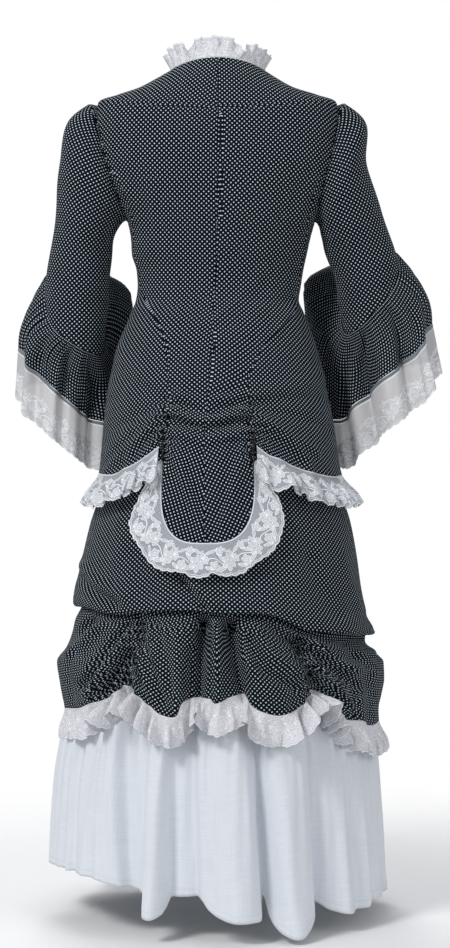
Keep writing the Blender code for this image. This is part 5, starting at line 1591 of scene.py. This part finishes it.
# %% Arms
ARMS = {
    "left": (1, ARM_LEFT, END_LEFT, HEM_LEFT, VALLEYS_LEFT),
    "right": (-1, ARM_RIGHT, END_RIGHT, HEM_RIGHT, VALLEYS_RIGHT),
}
SLEEVE_COLUMNS = 120
FLOUNCE_COLUMNS = 240
CUFF_COLUMNS = 300
# The first rows of a sleeve lie close together, where its cap is eased into the armhole
CAP_ROWS = (0, 0, 0.002, 0.004, 0.007, 0.011)
# Its seam edge lies under the jacket's edge and inside it, so that no light shows through the armhole
TUCKED_UNDER = 0.005
TUCKED_IN = 0.004
CAP_SEAM = 0.0010
CAP_TUCK = 0.0006
CAP_TUCKS = 26
CAP_SWELL = 0.009
SLEEVE_SOFT = 0.0011
SLEEVE_WALL = 0.0011
FLOUNCE_WALL = 0.0010
RIBBON_WALL = 0.0008
LACE_THICK = 0.0004
FLOUNCE_GATHER = 0.0028
CUFF_TRIM = 0.0016


def tube_piece(name, points, side, thick, outside, inside, nodes, flatten=tube_cut):
    """A tube of cloth; its size is measured on the tube, and its map is made by flatten."""
    piece = shell(name, points, flatten(points), True, side, thick, outside, inside)
    dress(piece, nodes, cut_size(ring_cut(points, points.shape[1] // 2)))


def arm_grid(columns, downs):
    angle = np.arange(columns) * 360.0 / columns - 90.0
    return np.repeat(angle[None, :], len(downs), axis=0), np.repeat(downs[:, None], columns, axis=1)


for name, (side, arm, ends, hem, valleys) in ARMS.items():
    sleeve = sleeve_form(side, arm)
    angle, down = arm_grid(SLEEVE_COLUMNS, np.concatenate([CAP_ROWS, np.linspace(0.018, 1, 84)]))
    end = round_arm(ends, angle, "end")
    level = ARM_TOP_LEVEL + down * (end - ARM_TOP_LEVEL)
    points = sleeve(angle, level)
    normal = grid_normals(points, True, -side)
    soft = SLEEVE_SOFT * drift(angle / 120, level / 0.06, 31) * ease((level - 0.19) / 0.05)
    swell = soft - CAP_SEAM * bell(down / 0.004)
    tucks = CAP_TUCK * np.sin(np.radians(angle) * CAP_TUCKS + 2 * drift(angle / 60, 0, 33))
    tucks *= np.exp(-down / 0.05) * ease(down / 0.01)
    cap = CAP_SWELL * bell(apart(angle, 8) / 60) * ease(down / 0.03) * bell(down / 0.17)
    points = points + normal * (swell + cap + tucks * (np.cos(np.radians(angle)) > -0.3))[..., None]
    points[0] = push_out(armhole_point(side, angle[0], -TUCKED_UNDER), -TUCKED_IN + 0 * angle[0])
    tube_piece(f"sleeve_{name}", points, -side, SLEEVE_WALL, DOTTED, LINING,
               [f"sleeve_{name}"])

    flounce = flounce_form(side, arm, ends, hem, valleys, CUFF_TRIM, FLOUNCE_GATHER)
    angle, down = arm_grid(FLOUNCE_COLUMNS, np.linspace(0, 1, 40))
    tube_piece(f"flounce_{name}", flounce(angle, down), -side, FLOUNCE_WALL, DOTTED_UPRIGHT, WRONG_SIDE,
               [f"sleeve_flounce_{name}"], strip_cut)
    start = 1 + 2 * SEAM
    angle, down = arm_grid(FLOUNCE_COLUMNS, start + np.linspace(0, CUFF_BAND, 3))
    points = flounce(angle, down)
    cut = ring_cut(points, FLOUNCE_COLUMNS // 2)
    ribbon_piece = shell(f"ribbon_{name}", points, cut, True, -side, RIBBON_WALL, RIBBON, RIBBON)
    stand_for(ribbon_piece, [f"cuff_band_{name}"])
    start += CUFF_BAND + SEAM
    angle, down = arm_grid(CUFF_COLUMNS, start + np.linspace(0, CUFF_LACE, 18))
    tube_piece(f"cuff_lace_{name}", flounce(angle, down), -side, LACE_THICK, CUFF_LACE_LOOK, CUFF_LACE_LOOK,
               [f"cuff_lace_{name}"], strip_cut)

# %% [markdown]
# ## Collar
# A gathered frill of lace stands round the neck seam and rolls a little outwards. Its waves are uneven,
# and its top edge dips and rises with them, as it does in the picture.

# %% Collar frill
COLLAR_ROLL = 0.010
# How much of the frill stands up at each turn: it breaks outwards in a notch at two places behind
COLLAR_TOP = (
    (-180, 0.90), (-120, 0.86), (-90, 0.72), (-62, 0.76), (-43, 0.84), (-34, 0.68), (-28, 0.34), (-24, 0.52),
    (-17, 0.80), (-8, 0.88), (10, 0.90), (22, 0.86), (28, 0.72), (33, 0.40), (38, 0.70), (46, 0.94),
    (60, 0.86), (75, 0.74), (90, 0.72), (120, 0.86), (180, 0.90),
)
COLLAR_RADIUS = 0.075
COLLAR_SET_IN = 0.0006
COLLAR_RAGGED = 0.05
# Pitch, height, lean and seed
COLLAR_PLEATS = (0.022, 0.0048, 0.0030, 41)
COLLAR_COLUMNS, COLLAR_ROWS = 420, 15

turn = round_turns(COLLAR_COLUMNS, COLLAR_ROWS)
height = np.repeat(np.linspace(0, COLLAR_HEIGHT, COLLAR_ROWS)[:, None], COLLAR_COLUMNS, axis=1)
rise = height / COLLAR_HEIGHT
around = np.radians(turn) * COLLAR_RADIUS
out, sideways = pleats(around, *COLLAR_PLEATS)
leant = turn + np.degrees(sideways * ease(rise) / COLLAR_RADIUS)
points = push_out(jacket(leant, 0 * turn), COLLAR_ROLL * rise ** 1.5 - COLLAR_SET_IN + out * ease(rise))
ragged = COLLAR_RAGGED * drift(around / 0.012, 0.2, 44)
stands = read(COLLAR_TOP, HEM, apart(turn, 0), "drop") + ragged
points[..., 2] += 2 * SEAM + height * stands
measured = ring_cut(points, COLLAR_COLUMNS // 2)
cut = measured.copy()
cut[..., 0] = measured[-1:, :, 0]
cut[..., 1] = -np.concatenate([height, height[:, :1]], axis=1)
piece = shell("collar_frill", points, cut, True, -1, LACE_THICK, COLLAR_LOOK, COLLAR_LOOK)
dress(piece, ["collar_lace"], cut_size(measured))

# %% [markdown]
# ## Lace below an edge
# The peplum and the overskirt are edged with the same lace, set on in uneven pleats. A strip is made from
# an edge, given as turn and level at 0 to 1 along it, and hangs from it by its depth.

# %% Lace strips
# Small steps along an edge, round the body and down it, between which a direction is measured
NEAR_SHARE = 0.002
NEAR_TURN = 0.05
NEAR_LEVEL = 0.0005
LACE_ROWS = 17


def lace_strip(name, garment, edge, length, columns, closed, wave, flare, fan, lift, look, nodes,
               full=None, start=SEAM):
    """wave is the pleats' pitch, height, lean and seed; flare how far the lower edge stands off; fan 0 where
    the lace hangs straight down and 1 where it stands square to the edge; full the share of its depth."""
    along = np.linspace(0, 1, columns, endpoint=not closed)
    distance = np.linspace(start, length, LACE_ROWS)
    along, distance = np.meshgrid(along, distance)
    turn, level = edge(along)
    here = garment(turn, level)
    run = garment(*edge(along + NEAR_SHARE)) - garment(*edge(along - NEAR_SHARE))
    run /= np.linalg.norm(run, axis=-1, keepdims=True)
    right = garment(turn + NEAR_TURN, level) - garment(turn - NEAR_TURN, level)
    down = garment(turn, level + NEAR_LEVEL) - garment(turn, level - NEAR_LEVEL)
    normal = np.cross(right, down)
    normal /= np.linalg.norm(normal, axis=-1, keepdims=True)
    down /= np.linalg.norm(down, axis=-1, keepdims=True)
    way = np.cross(run, normal) * -fan + down * (1 - fan)
    way /= np.linalg.norm(way, axis=-1, keepdims=True)
    steps = np.linalg.norm(np.diff(here[0], axis=0), axis=-1)
    metres = np.concatenate([[0], np.cumsum(steps)])
    share = distance / length
    pitch, high, over, seed = wave
    out, sideways = pleats(metres[None, :], pitch, high, over, seed)
    raised = lift(along) + flare * share ** 1.3 + (out + high) * ease(share * 1.3)
    reach = distance * (full(along) if full else 1.0) * (1 - 0.05 * share * out / high)
    points = here + way * reach[..., None] + normal * raised[..., None] \
        + run * (sideways * ease(share * 1.3))[..., None]
    measured = ring_cut(points, columns // 2) if closed else plain_cut(points)
    cut = measured.copy()
    cut[..., 0] = measured[-1:, :, 0]
    cut[..., 1] = -np.concatenate([distance, distance[:, :1]], axis=1) if closed else -distance
    piece = shell(name, points, cut, closed, 1, LACE_THICK, look, look)
    dress(piece, nodes, cut_size(measured))


def flat(along):
    return 0.0 * along


# %% Peplum lace
TAIL_LACE_ARC = 170.0
SCALLOP_GAP = 0.8


def tail_edge(along):
    angle = np.radians(TAIL_LACE_ARC * (along - 0.5))
    across, low = np.sin(angle), np.cos(angle)
    turn = TAIL_CENTRE + TAIL_HALF * np.sign(across) * np.abs(across) ** (2 / TAIL_CORNER)
    return turn, TAIL_APEX + (TAIL_BOTTOM - TAIL_APEX) * np.abs(low) ** (2 / TAIL_ROUND)


def narrow_ends(along):
    return 0.25 + 0.75 * ease(np.minimum(along, 1 - along) / 0.22)


lace_strip("peplum_lace_tail", jacket, tail_edge, PEPLUM_LACE, 380, False,
           (0.040, 0.0030, 0.0028, 51), 0.004, 1.0, flat, PEPLUM_LOOK,
           ["peplum_lace_tail"], narrow_ends)
for name, side, scallop in (("left", 1, SIDE_SCALLOP_LEFT), ("right", -1, SIDE_SCALLOP_RIGHT)):
    first = scallop[0][0] + SCALLOP_GAP

    def side_scallop(along, side=side, scallop=scallop, first=first):
        share = along if side > 0 else 1 - along
        turn = first + (179.8 - first) * share
        return side * turn, read(scallop, HEM, turn, "drop")

    def over_tail(along, side=side):
        return 0.009 * bell((along if side > 0 else 1 - along) / 0.10)
    lace_strip(f"peplum_lace_{name}", jacket, side_scallop, PEPLUM_LACE, 420, False,
               (0.027, 0.0058, 0.0034, 52), 0.012, 0.0, over_tail, PEPLUM_LOOK,
               [f"peplum_lace_{name}"])

# %% [markdown]
# ## Overskirt
# The overskirt is looped up behind: its back puffs out over the hips and turns under at a low, slightly
# uneven edge. The part below it is ruched at two lines, and its hem hangs in scallops edged with lace.

# %% Overskirt
POUF_COLUMNS = 240
LOWER_COLUMNS, LOWER_ROWS = 420, 46
# Close rows where the pouf bulges, and closer still where it turns under
OVERSKIRT_LEVELS = np.concatenate([spaced(WAIST + SEAM, 0.60, 0.012)[:-1], spaced(0.60, 0.86, 0.005)[:-1],
                                   spaced(0.86, 0.925, 0.003)])
turn = round_turns(POUF_COLUMNS, len(OVERSKIRT_LEVELS))
level = np.repeat(OVERSKIRT_LEVELS[:, None], POUF_COLUMNS, axis=1)
tube_piece("overskirt_pouf", worn_overskirt(turn, level), 1, DOTTED_WALL, DOTTED, LINING,
           ["overskirt"])
turn = round_turns(LOWER_COLUMNS, LOWER_ROWS)
hem = read(WORN_HEM, HEM, turn[0], "drop")
level = LOWER_TOP + np.linspace(0, 1, LOWER_ROWS)[:, None] * (hem - LOWER_TOP)[None, :]
tube_piece("overskirt_lower_part", worn_lower(turn, level), 1, DOTTED_WALL, DOTTED, LINING,
           ["overskirt_lower"])


def skirt_edge(along):
    turn = along * 360.0 - 180.0
    return turn, read(WORN_HEM, HEM, apart(turn, 0), "drop")


lace_strip("overskirt_edge_lace", worn_lower, skirt_edge, SKIRT_LACE, 760, True,
           (0.030, 0.0056, 0.0038, 61), 0.003, 0.0, flat, SKIRT_LOOK,
           ["overskirt_lace"], None, 2 * SEAM)

# %% [markdown]
# ## Underskirt
# The white underskirt is plain above, where nothing of it shows, and carries a deep gathered flounce that
# reaches the ground in large soft folds. Both are cotton inside and out.

# %% Underskirt
COTTON_WALL = 0.0010
UPPER_COLUMNS = 80
DEEP_COLUMNS, DEEP_ROWS = 600, 70
level = spaced(WAIST + SEAM, UNDERSKIRT[-1][0] - SEAM, 0.012)
turn = round_turns(UPPER_COLUMNS, len(level))
level = np.repeat(level[:, None], UPPER_COLUMNS, axis=1)
tube_piece("underskirt_upper", underskirt(turn, level), 1, COTTON_WALL, COTTON, COTTON,
           ["underskirt"])
turn = round_turns(DEEP_COLUMNS, DEEP_ROWS)
hem = read(FLOUNCE_HEM, HEM, turn[0], "drop")
top = UNDERSKIRT_FLOUNCE[0][0]
level = top + (np.linspace(0, 1, DEEP_ROWS) ** 1.1)[:, None] * (hem - top)[None, :]
flounce_points = worn_flounce(turn, level)
tube_piece("underskirt_deep_flounce", flounce_points, 1, COTTON_WALL, COTTON, COTTON,
           ["underskirt_flounce"], strip_cut)

# %% [markdown]
# ### Waistbands
# Each skirt is sewn to a straight strip of its own cloth, stretched round the waist under the jacket,
# which holds it up. None of this shows in the picture, so both are plain.

# %% Waistbands
BELT_COLUMNS, BELT_ROWS = 120, 5
for name, rows, look, slot in (("overskirt", OVERSKIRT, DOTTED, "dotted_cloth"),
                               ("underskirt", UNDERSKIRT, COTTON, "white_cotton")):
    height = np.repeat(np.linspace(0, WAISTBAND_HEIGHT, BELT_ROWS)[:, None], BELT_COLUMNS, axis=1)
    turn = round_turns(BELT_COLUMNS, BELT_ROWS)
    points = section_point(rows, turn, WAIST + 0 * height)
    points[..., 2] += WAISTBAND_HEIGHT - height
    tube_piece(f"{name}_belt", points, 1, DOTTED_WALL, look, look, [f"{name}_waistband"],
               strip_cut)

# %% [markdown]
# ## Floor
# A plain pale disc lies just under the hem. It catches the suit's soft shadow and fades to nothing at its
# rim.

# %% Floor
floor_look = Finish("pale_floor", 0.9)
place = floor_look.add("ShaderNodeTexCoord")
parts = floor_look.add("ShaderNodeSeparateXYZ", None, {0: place.outputs["Object"]})
x, y = Number(floor_look, parts.outputs[0]), Number(floor_look, parts.outputs[1])
away = (x * x + y * y).root()
floor_look.feed(floor_look.surface.inputs["Alpha"], 1 - away.step(*FLOOR_FADE))
floor_look.surface.inputs["Base Color"].default_value = tint(0.93, 0.93, 0.93)
bpy.ops.mesh.primitive_circle_add(vertices=96, radius=FLOOR_SIZE, fill_type="NGON",
                                  location=(0, 0, -FLOOR_DROP))
floor = bpy.context.object
floor.name = "floor"
floor.data.materials.append(floor_look.material)

# %% [markdown]
# ## Buttons
# Nine plain black buttons close the front. Each is turned like a small dish, with a raised rim, a hollow
# face and a rounded back, and sits where the solid one is. One button is made, and Geometry Nodes sets it
# at nine places.

# %% Repeats with Geometry Nodes
def node_group(name, inputs):
    """An empty Geometry Nodes tree with named inputs, given as name, socket type and value."""
    group = bpy.data.node_groups.new(name, "GeometryNodeTree")
    group.interface.new_socket("Geometry", in_out="INPUT", socket_type="NodeSocketGeometry")
    group.interface.new_socket("Geometry", in_out="OUTPUT", socket_type="NodeSocketGeometry")
    for label, kind, value in inputs:
        socket = group.interface.new_socket(label, in_out="INPUT", socket_type=kind)
        if value is not None:
            socket.default_value = value
    return group


def grow(thing, group, **values):
    """Runs a tree on an object and keeps the mesh that it makes."""
    modifier = thing.modifiers.new(group.name, "NODES")
    modifier.node_group = group
    for item in group.interface.items_tree:
        if item.in_out == "INPUT" and item.name in values:
            modifier[item.identifier] = values[item.name]
    evaluated = thing.evaluated_get(bpy.context.evaluated_depsgraph_get())
    mesh = bpy.data.meshes.new_from_object(evaluated)
    thing.modifiers.clear()
    thing.data = mesh
    print(f"{thing.name}: {sum(len(face.vertices) - 2 for face in mesh.polygons)} triangles")
    return thing


def add_node(group, kind, settings=None, sockets=None):
    node = group.nodes.new(kind)
    for name, setting in (settings or {}).items():
        setattr(node, name, setting)
    for key, given in (sockets or {}).items():
        if isinstance(given, bpy.types.NodeSocket):
            group.links.new(given, node.inputs[key])
        else:
            node.inputs[key].default_value = given
    return node


def set_along(group, points, part, way, look):
    """Ends a tree: a part at every point, its Z axis turned along a vector, as one mesh of a look."""
    turned = add_node(group, "FunctionNodeAlignRotationToVector", {"axis": "Z"}, {"Vector": way})
    each = add_node(group, "GeometryNodeInstanceOnPoints", None,
                    {"Points": points, "Instance": part, "Rotation": turned.outputs[0]})
    real = add_node(group, "GeometryNodeRealizeInstances", None, {0: each.outputs[0]})
    dressed = add_node(group, "GeometryNodeSetMaterial", None, {0: real.outputs[0], "Material": look})
    group.links.new(dressed.outputs[0], group.nodes.new("NodeGroupOutput").inputs[0])


def set_out(name):
    """A tree that sets a part at every point of a mesh, stood up along the point's own "stands" vector."""
    group = node_group(name, (("Part", "NodeSocketObject", None), ("Look", "NodeSocketMaterial", None)))
    given = group.nodes.new("NodeGroupInput")
    part = add_node(group, "GeometryNodeObjectInfo", {"transform_space": "ORIGINAL"},
                    {"Object": given.outputs["Part"]})
    stands = add_node(group, "GeometryNodeInputNamedAttribute", {"data_type": "FLOAT_VECTOR"},
                      {"Name": "stands"})
    set_along(group, given.outputs["Geometry"], part.outputs["Geometry"], stands.outputs[0],
              given.outputs["Look"])
    return group


# %% Buttons
BUTTONS = 9
BUTTON_RADIUS = 0.0065
BUTTON_HEIGHT = 0.0030
BUTTON_SIDES = 28
BUTTON_TURN = -176.0
BUTTON_LEVELS = (0.018, 0.600)
BUTTON_LIFT = 0.0005
# From the middle of the face to the middle of the back, as shares of radius and height
BUTTON_PROFILE = ((0.00, 0.62), (0.30, 0.60), (0.55, 0.62), (0.72, 0.84), (0.84, 1.00), (0.96, 0.86),
                  (1.00, 0.52), (0.94, 0.16), (0.80, 0.00), (0.00, 0.00))


def turned_button():
    """A button round its own Z axis, with its back on the ground."""
    angles = 2 * np.pi * np.arange(BUTTON_SIDES) / BUTTON_SIDES
    vertices = [(0, 0, BUTTON_PROFILE[0][1] * BUTTON_HEIGHT)]
    for wide, high in BUTTON_PROFILE[1:-1]:
        across = wide * BUTTON_RADIUS
        vertices += [(across * math.cos(a), across * math.sin(a), high * BUTTON_HEIGHT) for a in angles]
    vertices.append((0, 0, 0))
    rings = len(BUTTON_PROFILE) - 2
    faces = []
    for k in range(BUTTON_SIDES):
        after = (k + 1) % BUTTON_SIDES
        faces.append((0, 1 + k, 1 + after))
        for ring in range(rings - 1):
            a, b = 1 + ring * BUTTON_SIDES, 1 + (ring + 1) * BUTTON_SIDES
            faces.append((a + k, b + k, b + after, a + after))
        last = 1 + (rings - 1) * BUTTON_SIDES
        faces.append((last + k, len(vertices) - 1, last + after))
    mesh = bpy.data.meshes.new("button")
    mesh.from_pydata(vertices, [], faces)
    mesh.shade_smooth()
    return bpy.data.objects.new("button_pattern", mesh)


gloss = Finish("black_button_gloss", 0.28, Coat_Weight=0.3)
gloss.surface.inputs["Base Color"].default_value = tint(0.010, 0.010, 0.012)
turn, level = np.full((1, BUTTONS), BUTTON_TURN), np.linspace(*BUTTON_LEVELS, BUTTONS)[None, :]
normal = np.cross(jacket(turn + NEAR_TURN, level) - jacket(turn - NEAR_TURN, level),
                  jacket(turn, level + 0.0002) - jacket(turn, level - 0.0002))
normal /= np.linalg.norm(normal, axis=-1, keepdims=True)
seats = bpy.data.meshes.new("front_buttons")
seats.from_pydata((jacket(turn, level) + normal * BUTTON_LIFT)[0].tolist(), [], [])
stands = seats.attributes.new("stands", "FLOAT_VECTOR", "POINT")
stands.data.foreach_set("vector", normal.astype(np.float32).ravel())
buttons = bpy.data.objects.new("front_buttons", seats)
scene.collection.objects.link(buttons)
grow(buttons, set_out("set out buttons"), Part=turned_button(), Look=gloss.material)
stand_for(buttons, [f"button_{number}" for number in range(1, BUTTONS + 1)])

# %% [markdown]
# ## Stitches
# The underskirt's hem is turned up narrow and stitched by hand. The row is a line of short threads, laid
# end to end along a path on the cloth by Geometry Nodes.

# %% Stitch rows
STITCH_PITCH = 0.0030
STITCH_LENGTH = 0.0021
THREAD_RADIUS = 0.00028
THREAD_PROUD = 0.00015
HEM_TURN = 0.011


def stitches_group():
    group = node_group("stitch row", (
        ("Pitch", "NodeSocketFloat", STITCH_PITCH), ("Length", "NodeSocketFloat", STITCH_LENGTH),
        ("Thread", "NodeSocketFloat", THREAD_RADIUS), ("Look", "NodeSocketMaterial", None)))
    given = group.nodes.new("NodeGroupInput")
    line = add_node(group, "GeometryNodeMeshToCurve", None, {0: given.outputs["Geometry"]})
    even = add_node(group, "GeometryNodeResampleCurve", {"mode": "LENGTH"},
                    {"Curve": line.outputs[0], "Length": given.outputs["Pitch"]})
    tangent = group.nodes.new("GeometryNodeInputTangent")
    thread = add_node(group, "GeometryNodeMeshCylinder", None,
                      {"Vertices": 6, "Side Segments": 2, "Radius": given.outputs["Thread"],
                       "Depth": given.outputs["Length"]})
    set_along(group, even.outputs[0], thread.outputs[0], tangent.outputs[0], given.outputs["Look"])
    return group


def plain_thread(name, colour):
    finish = Finish(name, 0.7)
    finish.surface.inputs["Base Color"].default_value = colour
    return finish.material


near_hem = column_lengths(flounce_points)
row = int(np.argmin(np.abs(near_hem[-1].mean() - HEM_TURN - near_hem.mean(axis=1))))
path = flounce_points[row] + grid_normals(flounce_points, True, 1)[row] * THREAD_PROUD
mesh = bpy.data.meshes.new("underskirt_hem_stitches")
mesh.from_pydata(path.tolist(), [(k, (k + 1) % len(path)) for k in range(len(path))], [])
stitches = bpy.data.objects.new("underskirt_hem_stitches", mesh)
scene.collection.objects.link(stitches)
grow(stitches, stitches_group(), Pitch=STITCH_PITCH, Length=STITCH_LENGTH, Thread=THREAD_RADIUS,
     Look=plain_thread("white_thread", tint(0.62, 0.65, 0.70)))
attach(stitches, "root")
